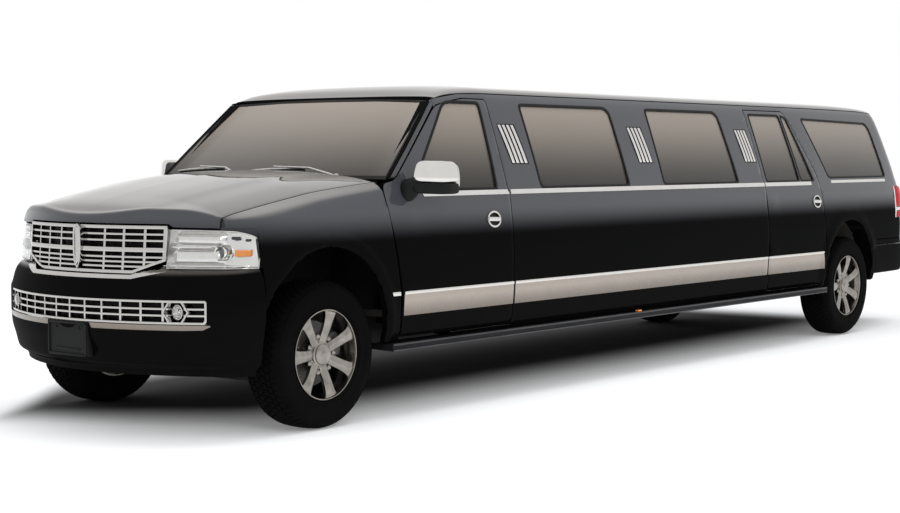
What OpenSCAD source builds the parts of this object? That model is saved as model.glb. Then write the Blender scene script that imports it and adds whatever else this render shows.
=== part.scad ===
// Stretched sport-utility limousine with four doors, a lengthened cabin and a ladder frame.
// Millimetres. +X is forward, +Y is the vehicle's left, +Z is up. The origin is on the ground
// under the middle of the vehicle's length.

/* [Length] */
// Distance between the front and rear axles
wheelbase = 6375; // [6200:25:6700]
// From the front axle to the foremost point of the front bumper
front_overhang = 970; // [950:5:990]
// From the rear axle to the rearmost point of the rear bumper
rear_overhang = 1370; // [1340:5:1400]

/* [Body] */
// Half of the body's width at its widest
body_half = 1000; // [985:1:1015]
// Height of the roof's crown above the ground
roof_height = 1915; // [1895:1:1940]
// Height of the belt line, where the windows begin
belt_height = 1280; // [1270:1:1290]
// Height of the sills and of the doors' lower edges
sill_height = 445; // [435:1:460]
// Thickness of the doors and walls below the belt line
wall = 120; // [100:1:130]
// Thickness of the window frames and pillars above the belt line
frame_wall = 60; // [50:1:70]
// Thickness of the doors below the belt line
door_wall = 96; // [80:1:98]
// Thickness of the doors' window frames
door_frame = 50; // [40:1:52]
// Thickness of the roof
roof_wall = 50; // [40:1:60]
// Width of the shut lines around doors, bonnet and tailgate
shut_gap = 7; // [6.5:0.5:8]
// Thickness of the window glass
glass = 6; // [5:0.5:8]

/* [Wheels] */
// Radius of the tyres
tyre_r = 405; // [395:1:410]
// Width of the tyres
tyre_w = 262; // [245:1:265]
// Radius of the rims at their outer lips
rim_r = 246; // [238:1:250]
// Half of the distance between the middles of the two front or rear tyres
half_track = 845; // [835:1:850]
// Number of spokes in each wheel
spokes = 7; // [5:1:9]
// Radius of the front wheel arches
arch_r = 475; // [465:1:480]
// Height of the middle of the wheel arches
arch_height = 512; // [505:1:520]

/* [Front] */
// Half of the upper grille's width
grille_half = 508; // [490:1:515]
// Half of the lower grille's width
low_grille_half = 790; // [770:1:800]
// Columns of openings in each half of the upper grille
grille_columns = 4; // [3:1:5]
// Thickness of the grilles' thin bars
bar = 11; // [8:1:13]

/* [Hidden] */

black = [0.03, 0.03, 0.04];
chrome = [0.85, 0.84, 0.82];
tint = [0.35, 0.32, 0.30];
steel = [0.25, 0.25, 0.26];
rubber = [0.06, 0.06, 0.06];
seat = 0.3; // running gap of a piece against what carries it

// Stations along the length, worked out from the axles
length = wheelbase + front_overhang + rear_overhang;
nose = length / 2;
tail = -length / 2;
front_axle = nose - front_overhang;
rear_axle = front_axle - wheelbase;
door_front_x = front_axle - 485;      // front edge of the front doors at the belt line
door_low_x = front_axle - 602;        // the same near the sill
b_pillar_x = front_axle - 1665;       // rear edge of the front doors
c_pillar_x = rear_axle + 1445;        // front edge of the rear doors
rear_door_x = rear_axle + 515;        // rear edge of the rear doors
screen_base_x = front_axle - 467;     // windscreen's lower edge on the centre line
screen_top_x = front_axle - 1102;     // windscreen's upper edge on the centre line
screen_base_z = belt_height + 62;
screen_top_z = roof_height - 96;
screen_bow = 0.00015;                 // how far the screen's plan bows back, per mm squared

function mix(a, b, t) = a + (b - a) * t;
// Height in the upper body, from its distance above the belt line with a roof 635 above that line
function upper(z) = belt_height + z * (roof_height - belt_height) / 635;
function clamp(v, a, b) = max(a, min(b, v));

// Plan of the body: half widths along the length, and a bowed nose that turns into the sides
nose_bow = 0.0004;                    // how far the nose bows back, per mm squared
nose_turn = 12;                       // how tightly its corners turn: more is tighter
grille_x = nose - 92;                 // plane of the upper grille and bonnet edge on the centre line
plan = [[rear_axle - 1100, body_half - 52], [rear_axle - 800, body_half - 34], [rear_axle, body_half - 12],
    [rear_axle + 800, body_half], [front_axle - 800, body_half], [front_axle, body_half - 8],
    [front_axle + 700, body_half - 22]];
function nose_x(y, front, side) = front - nose_bow
    * pow(pow(max(abs(y), 1), -nose_turn) - pow(side, -nose_turn), -2 / nose_turn);
function nose_half(x, front, side) = pow(pow(side, -nose_turn)
    + pow(max(front - x, 1) / nose_bow, -nose_turn / 2), -1 / nose_turn);
function plan_half(x) = x > front_axle ? nose_half(x, grille_x, lookup(x, plan)) : lookup(x, plan);

// Rear face of the body on the centre line, and how the rear corners round off
tail_face = [[400, tail + 118], [750, tail + 118], [1100, tail + 124], [belt_height, tail + 152],
    [upper(220), tail + 235], [upper(420), tail + 325], [upper(520), tail + 378], [upper(580), tail + 425],
    [upper(620), tail + 480]];
function tail_x(z) = lookup(z, tail_face);
corner_r = 225;
function corner(s) = s >= corner_r ? 0 : corner_r - sqrt(pow(corner_r, 2) - pow(corner_r - max(s, 0), 2));

// Section of the body side: heights and insets below the belt, shares of the way up above it
floor_z = 560;                        // underside of the cabin floor
floor_top = floor_z + 40;
lower_rows = [[sill_height - 20, 34], [520, 14], [floor_top, 8], [700, 2], [860, 0], [1000, 5], [1130, 18],
    [belt_height - 50, 32], [belt_height, 46]];
upper_shares = [0.25, 0.5, 0.75, 0.9, 1];
tumble = [[belt_height, 46], [belt_height + 140, 76], [belt_height + 285, 110], [belt_height + 430, 146],
    [belt_height + 515, 170], [belt_height + 570, 198], [belt_height + 700, 260]];
rail_top = roof_height - 65;          // height of the roof rails along the cabin
rail = [[tail + 100, rail_top - 80], [tail + 438, rail_top - 28], [tail + 900, rail_top - 5],
    [rear_axle + 800, rail_top], [screen_top_x - 500, rail_top], [screen_top_x - 250, rail_top - 6],
    [screen_top_x - 100, rail_top - 19], [screen_top_x + 30, rail_top - 42]];
function rail_z(x) = lookup(x, rail);
row_count = len(lower_rows) + len(upper_shares);
last_low = len(lower_rows) - 1;
function row_z(j, top) = j <= last_low ? lower_rows[j][0] : mix(belt_height, top, upper_shares[j - last_low - 1]);
function row_inset(j, top) = j <= last_low ? lower_rows[j][1] : lookup(row_z(j, top), tumble);
function row_wall(j, walls) = walls[j < last_low - 1 ? 0 : 1];
body_walls = [wall, frame_wall];
door_walls = [door_wall, door_frame];
function side_y(x, z, inset) = plan_half(x) - inset - corner(x - tail_x(z));

// Closed solid between two grids of points. Rows cross columns pointing against the outer side.
module skin(outer, inner) {
    rows = len(outer);
    cols = len(outer[0]);
    n = rows * cols;
    function id(i, j) = i * cols + j;
    polyhedron([each [for (r = outer) each r], each [for (r = inner) each r]], concat(
        [for (i = [0:rows - 2], j = [0:cols - 2]) [id(i, j), id(i + 1, j), id(i + 1, j + 1)]],
        [for (i = [0:rows - 2], j = [0:cols - 2]) [id(i, j), id(i + 1, j + 1), id(i, j + 1)]],
        [for (i = [0:rows - 2], j = [0:cols - 2]) [n + id(i, j), n + id(i + 1, j + 1), n + id(i + 1, j)]],
        [for (i = [0:rows - 2], j = [0:cols - 2]) [n + id(i, j), n + id(i, j + 1), n + id(i + 1, j + 1)]],
        [for (i = [0:rows - 2], j = [0, cols - 1]) j == 0
            ? [id(i, j), n + id(i, j), n + id(i + 1, j)] : [id(i, j), n + id(i + 1, j), n + id(i, j)]],
        [for (i = [0:rows - 2], j = [0, cols - 1]) j == 0
            ? [id(i, j), n + id(i + 1, j), id(i + 1, j)] : [id(i, j), id(i + 1, j), n + id(i + 1, j)]],
        [for (j = [0:cols - 2], i = [0, rows - 1]) i == 0
            ? [id(i, j), n + id(i, j + 1), n + id(i, j)] : [id(i, j), n + id(i, j), n + id(i, j + 1)]],
        [for (j = [0:cols - 2], i = [0, rows - 1]) i == 0
            ? [id(i, j), id(i, j + 1), n + id(i, j + 1)] : [id(i, j), n + id(i, j + 1), id(i, j + 1)]]
    ), convexity = 6);
}

// Prisms: a side view extruded across, a front view extruded along, both by two limits
module across(points, y0, y1) {
    translate([0, y1, 0]) rotate([90, 0, 0]) linear_extrude(y1 - y0) polygon(points);
}
module along(points, x0, x1) {
    translate([x0, 0, 0]) rotate([90, 0, 90]) linear_extrude(x1 - x0) polygon(points);
}
module block(low, high) {
    translate(low) cube([high[0] - low[0], high[1] - low[1], high[2] - low[2]]);
}
module both_sides() {
    children();
    mirror([0, 1, 0]) children();
}

// Left side wall from one station to another, between two depths under the outer surface.
// Stations near the tail follow its leaning face.
module side_shell(stations, from = 0, walls = body_walls, thick = 0, rows = [0:row_count - 1], flat = false) {
    function place(s, z) = s < tail + 460 ? s + tail_x(z) - tail_x(860) : s;
    function grid(inside) = [for (s = stations) [for (j = rows)
        let(top = flat ? rail_top : rail_z(s < tail + 460 ? s + 260 : s), z = row_z(j, top), x = place(s, z),
            depth = inside ? (thick > 0 ? from + thick : row_wall(j, walls)) : from)
        [x, side_y(x, z, row_inset(j, top)) - depth, z]]];
    skin(grid(false), grid(true));
}

tail_stations = [tail + 160, tail + 178, tail + 205, tail + 245, tail + 300, tail + 370, tail + 459];

// Outlines in side view
function pillar_x(z) = mix(screen_base_x - screen_bow * 860 * 860, screen_top_x,
    (z - screen_base_z) / (screen_top_z - screen_base_z));
door_top = 1822;
front_door = [[b_pillar_x, sill_height], [door_low_x, sill_height], [door_low_x + 5, 700],
    [door_front_x - 52, 1010], [door_front_x, 1240], [door_front_x - 2, 1322], [pillar_x(1345) - 22, 1345],
    [pillar_x(1745) - 28, 1745], [pillar_x(1776) - 42, 1776], [screen_top_x - 110, 1800],
    [screen_top_x - 260, door_top], [b_pillar_x + 78, door_top], [b_pillar_x + 66, 1800],
    [b_pillar_x + 6, belt_height], [b_pillar_x, 1230]];
rear_door = [[rear_door_x - 60, sill_height + 215], [rear_door_x - 5, sill_height], [c_pillar_x - 30, sill_height],
    [c_pillar_x, 1230], [c_pillar_x + 6, belt_height], [c_pillar_x + 108, 1800], [c_pillar_x + 104, door_top],
    [c_pillar_x - 505, door_top], [c_pillar_x - 545, 1805], [rear_door_x + 28, belt_height + 40],
    [rear_door_x, 1230], [rear_door_x - 48, 905]];
front_window = [[b_pillar_x + 118, belt_height], [front_axle - 800, belt_height], [front_axle - 782, belt_height + 50],
    [front_axle - 1150, 1765], [front_axle - 1192, 1788], [front_axle - 1240, 1793], [b_pillar_x + 152, 1793]];
window_one = [[front_axle - 2018, belt_height], [front_axle - 1935, 1790], [front_axle - 2905, 1790],
    [front_axle - 2950, 1760], [front_axle - 3043, belt_height]];
window_two = [[rear_axle + 2882, belt_height], [rear_axle + 2958, 1790], [rear_axle + 2010, 1790],
    [rear_axle + 1965, 1760], [rear_axle + 1832, belt_height]];
rear_window = [[c_pillar_x - 52, belt_height], [c_pillar_x + 40, 1785], [c_pillar_x - 443, 1785],
    [c_pillar_x - 590, belt_height]];
rear_vent_window = [[c_pillar_x - 622, belt_height], [c_pillar_x - 478, 1782], [c_pillar_x - 548, 1774],
    [c_pillar_x - 836, belt_height]];
quarter_window = [[rear_axle + 326, belt_height + 20], [rear_axle + 625, upper(485)],
    [rear_axle - 600, upper(465)], [rear_axle - 660, upper(420)], [rear_axle - 815, belt_height + 20]];

// Points of an outline moved inwards by a distance, for outlines listed either way round
function turn(p, i) = let(n = len(p), a = p[(i + n - 1) % n], b = p[i], c = p[(i + 1) % n],
    u = (b - a) / norm(b - a), v = (c - b) / norm(c - b)) [u, v];
function outline_area(p) = let(n = len(p)) sum([for (i = [0:n - 1])
    p[i][0] * p[(i + 1) % n][1] - p[(i + 1) % n][0] * p[i][1]]) / 2;
function sum(v, i = 0) = i == len(v) ? 0 : v[i] + sum(v, i + 1);
function inset(p, d) = let(way = outline_area(p) > 0 ? 1 : -1) [for (i = [0:len(p) - 1])
    let(t = turn(p, i), na = [-t[0][1], t[0][0]], nb = [-t[1][1], t[1][0]], m = na + nb)
    p[i] + way * d * m * 2 / (m * m)];

// Body side: quarter, lengthened panel between the doors, roof rail, sill and windscreen pillar
module body_side() {
    stations = [each tail_stations, tail + 900, rear_axle + 800, screen_top_x - 500,
        screen_top_x - 250, screen_top_x - 100, screen_top_x + 30];
    color(black) {
        difference() {
            side_shell(stations);
            across(front_door, 0, 1200);
            across(rear_door, 0, 1200);
            for (w = [window_one, window_two, quarter_window]) across(w, 0, 1200);
            wheel_opening(rear_axle, arch_r - 20, arch_height - 18);
            block([tail, 0, 300], [rear_axle - arch_r - 50, 1200, rear_bumper_top + seat]);
            tail_lamp_space(seat);
            tailgate_space();
        }
        for (z = hinge_heights) hinge_bracket([rear_hinge_x, hinge_y(rear_hinge_x)], z, c_pillar_x + 50, 118);
        sill();
        a_pillar();
    }
}
module sill() {
    side_shell([rear_axle + arch_r + 20, rear_axle + 800, front_axle - 800, screen_base_x - 150],
        from = wall - 1, thick = 80, rows = [1, 2]);
}
module wheel_opening(x, r, z) {
    translate([x, 0, z]) rotate([-90, 0, 0]) cylinder(r = r, h = 1200, $fn = 72);
    block([x - r, 0, 200], [x + r, 1200, z]);
}
pillar_foot_z = screen_base_z + 9;
function pillar_y(z) = plan_half(pillar_x(z)) - lookup(z, tumble);
module a_pillar() {
    heights = [pillar_foot_z, mix(pillar_foot_z, screen_top_z, 0.35), mix(pillar_foot_z, screen_top_z, 0.7),
        screen_top_z - 24];
    function edge(dx, deep) = [for (z = heights) [pillar_x(z) + dx, pillar_y(z) - deep, z]];
    skin([edge(-20, 0), edge(16, 4)], [edge(-20, pillar_w), edge(16, pillar_w)]);
    // inner foot that stands on the hinge post
    block([foot_x - 45, post_y - 45, belt_height + 10 + seat], [foot_x, post_y, foot_top]);
    block([foot_x - 45, post_y - 1, pillar_foot_z + 1], [foot_x, pillar_y(foot_top) - pillar_w + 8, foot_top]);
}
pillar_w = 76;
foot_top = pillar_foot_z + 20;
foot_x = pillar_x(foot_top) - 9;
post_y = body_half - 215;                         // outer face of the hinge posts, inboard of the doors' swing

// Pocket of a tail lamp round the rear corner
rear_bumper_top = 770;
lamp_low = 940;
lamp_top = 1215;
lamp_side_x = tail + 420;
module tail_lamp_space(grow) {
    block([tail - 10, tailgate_half + shut_gap - grow, lamp_low - grow],
        [lamp_side_x + grow, 1100, lamp_top + grow]);
}

// Roof skin, curved along and across, seated on the rails
roof_shares = [0.92, 0.69, 0.46, 0.27, 0.12, 0.03, 0];
roof_front = screen_top_x - 0.6 * glass - seat;
module roof() {
    stations = [tail + 438, tail + 520, tail + 650, tail + 900, tail + 1400, rear_axle + 800,
        screen_top_x - 500, screen_top_x - 250, screen_top_x - 100, roof_front];
    crown = [[tail + 438, rail_top + 6], [tail + 520, roof_height - 40], [tail + 650, roof_height - 24],
        [tail + 900, roof_height - 10], [tail + 1400, roof_height], [screen_top_x - 500, roof_height],
        [screen_top_x - 250, roof_height - 12], [screen_top_x - 100, roof_height - 38],
        [roof_front, screen_top_z + 12]];
    function edge(x) = side_y(x, rail_z(x), row_inset(row_count - 1, rail_z(x))) - 2;
    function half_row(e) = [e, e - 20, e - 60, e - 150, e * 0.62, e * 0.3];
    function full_row(x) = let(h = half_row(edge(x))) [each h, 0, each [for (i = [5:-1:0]) -h[i]]];
    function share(k) = roof_shares[k < 7 ? k : 12 - k];
    function top(x, k) = mix(lookup(x, crown), rail_z(x), share(k));
    function under(x, k) = k < 3 || k > 9 ? rail_z(x) + seat : max(top(x, k) - roof_wall, rail_z(x) - 10);
    color(black) {
        skin([for (x = stations) [for (k = [0:12]) [x, full_row(x)[k], top(x, k)]]],
            [for (x = stations) [for (k = [0:12]) [x, full_row(x)[k], under(x, k)]]]);
        both_sides() gate_pin();
    }
}

// Doors: an outer skin, and a core that is shy of the rear edge, where the inner corner swings.
// Each door turns on upright pins close under its skin, behind its leading edge.
skin_depth = 6;
swing_room = 22;
hinge_back = 55;                      // from a door's lower front corner back to its hinge line
hinge_deep = 16;                      // from the widest skin in to the hinge line
front_hinge_x = door_low_x - hinge_back;
rear_hinge_x = c_pillar_x - 30 - hinge_back;
function hinge_y(x) = plan_half(x) - hinge_deep;
hinge_heights = [720, 1080];
hinge_pin_r = 8;
leaf_h = 30;
module hinge_bracket(at, z, post_x, reach) {
    // leaf from the post to the pin, and the pin standing out above and below it
    translate([at[0], at[1], z]) {
        translate([0, 0, -leaf_h / 2 - 14]) cylinder(r = hinge_pin_r, h = leaf_h + 28, $fn = 32);
        translate([-7, -reach - 14, -leaf_h / 2]) cube([14, reach + 14, leaf_h]);
        translate([-7, -reach - 14, -leaf_h / 2]) cube([post_x - at[0] + 7, 14, leaf_h]);
    }
}
module hinge_recess(at, z) {
    translate([at[0] - 20, at[1] - 140, z - leaf_h / 2 - 6]) cube([260, 140 + hinge_pin_r + 1, leaf_h + 12]);
    translate([at[0], at[1], z]) cylinder(r = hinge_pin_r + 0.05, h = leaf_h + 30, center = true, $fn = 32);
}
module door(outline, window, hinge_x) {
    xs = [for (p = outline) p[0]];
    stations = [min(xs) - 20, front_axle - 800 > max(xs) ? rear_axle + 800 : front_axle - 800, max(xs) + 20];
    color(black) difference() {
        union() {
            intersection() {
                side_shell(stations, thick = skin_depth, flat = true);
                across(inset(outline, shut_gap), 0, 1200);
            }
            intersection() {
                side_shell(stations, from = skin_depth - 1, walls = door_walls, flat = true);
                across(inset(outline, shut_gap + 3), 0, 1200);
                translate([swing_room, 0, 0]) across(inset(outline, shut_gap + 3), 0, 1200);
            }
        }
        for (w = window) across(w, 0, 1200);
        for (z = hinge_heights) hinge_recess([hinge_x, hinge_y(hinge_x)], z);
    }
}
module pane(outline, deep = 12) {
    xs = [for (p = outline) p[0]];
    color(tint) intersection() {
        side_shell([min(xs) - 20, (min(xs) + max(xs)) / 2, max(xs) + 20], from = deep, thick = glass,
            rows = [last_low - 1:row_count - 1], flat = true);
        across(inset(outline, seat), 0, 1200);
    }
}
module handle(x, z) {
    color(chrome) translate([x, side_y(x, z, lookup(z, lower_rows)), z]) {
        // round cup with a grip across it
        translate([0, -4, 0]) rotate([-90, 0, 0]) difference() {
            cylinder(r = 44, h = 8, $fn = 40);
            translate([0, 0, 5]) cylinder(r = 34, h = 4, $fn = 40);
        }
        translate([-46, 3, -9]) cube([102, 15, 18]);
    }
}
module door_front() {
    door(front_door, [front_window], front_hinge_x);
    handle(b_pillar_x + 197, 1095);
}
module door_rear() {
    door(rear_door, [rear_window, rear_vent_window], rear_hinge_x);
    handle(rear_door_x + 103, 1112);
}
module glass_front() pane(front_window);
module glass_rear() {
    pane(rear_window);
    pane(rear_vent_window);
}
module side_glass() {
    both_sides() for (w = [window_one, window_two, quarter_window]) pane(w);
}

// Windscreen, bowed in plan at its foot, between the pillars, the cowl and the roof
function screen_half(z) = pillar_y(clamp(z, pillar_foot_z, screen_top_z)) - pillar_w - seat;
module windscreen() {
    shares = [-1, -0.75, -0.45, 0, 0.45, 0.75, 1];
    function spot(t, s, depth) = let(z = mix(screen_base_z, screen_top_z, t), y = s * screen_half(z))
        [mix(screen_base_x - screen_bow * y * y, screen_top_x, t) - depth * 0.6, y,
            z - 0.00003 * y * y * t - depth * 0.8];
    color(tint) skin([for (t = [0, 0.5, 1]) [for (s = shares) spot(t, s, 0)]],
        [for (t = [0, 0.5, 1]) [for (s = shares) spot(t, s, glass)]]);
}

// Front wings from the doors to the lamps
function wing_top(x) = lookup(x, [[front_axle - 640, belt_height + 62], [front_axle, belt_height - 8],
    [front_axle + 80, belt_height - 22], [front_axle + 540, belt_height - 112]]);
function wing_edge(x) = body_half - 96 - (x - front_axle + 640) * 0.0864;
wing_rows = [[sill_height - 20, 34], [520, 14], [700, 2], [860, 0], [1000, 4]];
wing_curve = [[0.35, 0.05], [0.65, 0.17], [0.86, 0.42], [1, 1]];
wing_end = front_axle + 540;
module wing() {
    stations = [door_low_x - 30, front_axle - 300, front_axle, front_axle + 200, front_axle + 360,
        front_axle + 460, wing_end];
    function grid(depth) = [for (x = stations) [
        each [for (r = wing_rows) [x, plan_half(x) - r[1] - depth, r[0]]],
        each [for (c = wing_curve) let(y0 = plan_half(x) - 4 - depth, z1 = wing_top(x) - depth * c[1])
            [x, mix(y0, wing_edge(x), c[1]), mix(1000, z1, c[0])]]]];
    color(black) difference() {
        skin(grid(0), grid(wing_wall));
        across(inset(front_door, -shut_gap), 0, 1200);
        across([[door_low_x - 60, 300], [door_low_x - 60, 1500], [pillar_x(pillar_foot_z) + 24, 1500],
            [pillar_x(pillar_foot_z) + 24, belt_height + 20], [door_low_x, 300]], 0, 1200);
        wheel_opening(front_axle, arch_r, arch_height);
        block([front_axle + arch_r - 20, 0, 200], [wing_end + 50, 1200, shelf_z + 3]);
        block([lamp_rear, 0, shelf_z], [wing_end + 50, 1200, lamp_high + 6]);
    }
}
wing_wall = 28;
shelf_z = 893;
module front_wings() both_sides() wing();

// Bonnet: a raised centre between the wings, its front edge bowed with the nose
bonnet_rear = screen_base_x + 62;
bonnet_wall = 38;
crown_line = [[front_axle - 520, belt_height + 118], [front_axle - 100, belt_height + 92],
    [front_axle + 300, belt_height + 36], [front_axle + 600, belt_height - 20], [front_axle + 760, belt_height - 62],
    [front_axle + 850, belt_height - 112]];
bonnet_shares = [0, 0.3, 0.52, 0.62, 0.8, 0.93, 1];
bonnet_drops = [0, 0.05, 0.17, 0.3, 0.5, 0.78, 1];
function bonnet_half(x) = wing_edge(x) - shut_gap;
function bonnet_z(x, share) = mix(lookup(x, crown_line), wing_top(x) + 2, lookup(share, [for (i = [0:6])
    [bonnet_shares[i], bonnet_drops[i]]]));
module bonnet() {
    steps = [0, 0.25, 0.5, 0.72, 0.86, 0.95, 1];
    corner_x = nose_x(bonnet_half(wing_end), grille_x - 20, body_half - 20);
    function front_edge(y) = nose_x(y, grille_x - 20, body_half - 20);
    function spot(t, s, depth) = let(y = s * bonnet_half(mix(bonnet_rear - 60, corner_x, t)),
        x = mix(bonnet_rear - screen_bow * 0.6 * y * y, front_edge(y), t)) [x, y, bonnet_z(x, abs(s)) - depth];
    // the wall deepens at the front to a lip over the grille and the lamps
    function under(t, s) = let(top = spot(t, s, 0)) t > 0.9 ? top[2] - lip_z(abs(top[1])) : bonnet_wall;
    shares = [each [for (i = [6:-1:1]) -bonnet_shares[i]], each bonnet_shares];
    color(black) difference() {
        union() {
            skin([for (t = steps) [for (s = shares) spot(t, -s, 0)]],
                [for (t = steps) [for (s = shares) spot(t, -s, under(t, s))]]);
            both_sides() bonnet_ear();
        }
        translate([bonnet_pin_x, -ear_y - 30, bonnet_pin_z]) rotate([-90, 0, 0])
            cylinder(r = bonnet_pin_r + 0.05, h = 2 * ear_y + 60, $fn = 32);
    }
}
lip_gap = 10;
function lip_z(y) = lip_gap + lookup(y, [[grille_half + 6, grille_z1], [grille_half + 14, lamp_high], [830, lamp_high - 4]]);

// Bonnet hinges: ears under the rear edge, on pins that brackets on the cowl carry
bonnet_pin_x = screen_base_x + 4.5;
bonnet_pin_z = belt_height + 40;
bonnet_pin_r = 6;
ear_y = 618;
module bonnet_ear() {
    across([[bonnet_pin_x - 11, bonnet_pin_z - 2], [bonnet_pin_x - 2, bonnet_pin_z - 12], [bonnet_pin_x + 75,
        bonnet_pin_z - 6], [bonnet_pin_x + 85, bonnet_pin_z + 16], [bonnet_pin_x + 20, bonnet_pin_z + 14],
        [bonnet_pin_x - 6, bonnet_pin_z + 9]], ear_y, ear_y + 16);
}
module bonnet_pin() {
    across([[bonnet_pin_x - 75, belt_height - 5], [bonnet_pin_x - 20, belt_height - 5], [bonnet_pin_x + 8,
        bonnet_pin_z - 8], [bonnet_pin_x + 8, bonnet_pin_z + 10], [bonnet_pin_x - 8, bonnet_pin_z + 10]],
        ear_y - 20, ear_y - 6);
    translate([bonnet_pin_x, ear_y - 10, bonnet_pin_z]) rotate([-90, 0, 0]) cylinder(r = bonnet_pin_r, h = 32, $fn = 32);
}

// Front structure: firewall, cowl, inner wings, hinge posts and lamp carriers
firewall_x = screen_base_x - 120;
apron_y = 495;
support_x = grille_x - 232;           // front face of the radiator support
module front_structure() {
    color(steel) {
        block([firewall_x, -rail_out, floor_z], [firewall_x + 28, rail_out, belt_height + 10]);
        both_sides() {
            block([firewall_x, rail_out - 1, floor_top + seat], [firewall_x + 28, post_y, belt_height + 10]);
            block([front_hinge_x - 32, post_y - 60, floor_top + seat], [firewall_x + 1, post_y, belt_height + 10]);
            block([firewall_x + 27, apron_y - 25, floor_z], [support_x - 29, apron_y, wing_top(front_axle + 460) - 130]);
            block([support_x - 108, apron_y - 1, 740], [support_x - 78, 700, 1000]);
            wing_outrigger();
            for (z = hinge_heights)
                hinge_bracket([front_hinge_x, hinge_y(front_hinge_x)], z, front_hinge_x + 9,
                    hinge_y(front_hinge_x) - post_y - 13);
            bonnet_pin();
        }
        block([firewall_x - 40, -post_y, belt_height - 20], [firewall_x + 60, post_y, belt_height + 10]);
        block([support_x - 30, -apron_y, floor_z], [support_x, apron_y, 1000]);
        cowl_upstand();
    }
}
// Arm from the hinge post to the inner face of the wing that it carries
module wing_outrigger() {
    z = [860, 900];
    x = [firewall_x + 70, firewall_x + 110];
    block([firewall_x + 27, post_y - 60, z[0]], [x[1], post_y, z[1]]);
    block([x[0], post_y - 1, z[0]], [x[1], plan_half(x[1]) - lookup(z[1], wing_rows) - wing_wall - seat, z[1]]);
}
module cowl_upstand() {
    ys = [for (i = [-6:6]) post_y * i / 6];
    translate([0, 0, belt_height + 9]) linear_extrude(screen_base_z - 0.8 * glass - seat - belt_height - 9)
        polygon([each [for (y = ys) [screen_base_x - screen_bow * y * y, y]],
            each [for (i = [12:-1:0]) [screen_base_x - screen_bow * ys[i] * ys[i] - 22, ys[i]]]]);
}

// A band of even depth behind the bowed nose, cut off at a half width, extruded upwards
module nose_band(front, half, depth, z0, z1, side = body_half - 10, steps = 12) {
    ys = [for (i = [-steps:steps]) half * i / steps];
    translate([0, 0, z0]) linear_extrude(z1 - z0) polygon([
        each [for (y = ys) [nose_x(y, front, side), y]],
        each [for (i = [0:2 * steps]) let(y = ys[2 * steps - i]) [nose_x(y, front, side) - depth, y]]]);
}

// Front bumper cover with its air dam
bumper_rows = [[330, 120], [360, 110], [400, 52], [467, 30], [545, 6], [625, 0], [740, 0], [770, 26], [shelf_z, 74]];
bumper_wall = 60;
module front_bumper() {
    ys = [-0.998, -0.985, -0.96, -0.9, -0.8, -0.6, -0.3, 0, 0.3, 0.6, 0.8, 0.9, 0.96, 0.985, 0.998];
    function side(back) = body_half - 12 - back * 0.3;
    function spot(s, row, depth) = let(back = row[1] + depth, w = side(row[1]) - depth * 0.85, y = s * w)
        [max(nose_x(y, nose - back, w), front_axle + arch_r - 60 + abs(s) * 10 + depth * 0.1), y, row[0]];
    color(black) difference() {
        skin([for (r = bumper_rows) [for (s = ys) spot(s, r, 0)]],
            [for (r = bumper_rows) [for (s = ys) spot(s, r, bumper_wall)]]);
        block([front_axle, -1100, 200], [front_axle + arch_r + 6, 1100, 1000]);
        nose_band(nose + 40, low_grille_half + seat, 160, low_grille_z0 - seat, low_grille_z1 + seat);
        block([front_axle + 300, -grille_half - 12, grille_z0 - 14], [nose + 50, grille_half + 12, 1000]);
        block([nose - 42, -plate_half - seat, plate_z - 90 - seat], [nose + 10, plate_half + seat, plate_z + 90 + seat]);
    }
}

// Plate bracket in the bumper's recess, with two holes for a plate
plate_half = 155;
plate_z = 512;
plate_hole_r = 3.5;
plate_pitch = 178;
module plate_holes(x, z, depth) {
    for (s = [-1, 1]) translate([x, s * plate_pitch / 2, z]) rotate([0, 90, 0])
        cylinder(r = plate_hole_r, h = depth, $fn = 32);
}
module plate_bracket() {
    color(black) difference() {
        block([nose - 42 + seat, -plate_half, plate_z - 90], [nose, plate_half, plate_z + 90]);
        plate_holes(nose - 24, plate_z + 40, 30);
    }
}

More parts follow.
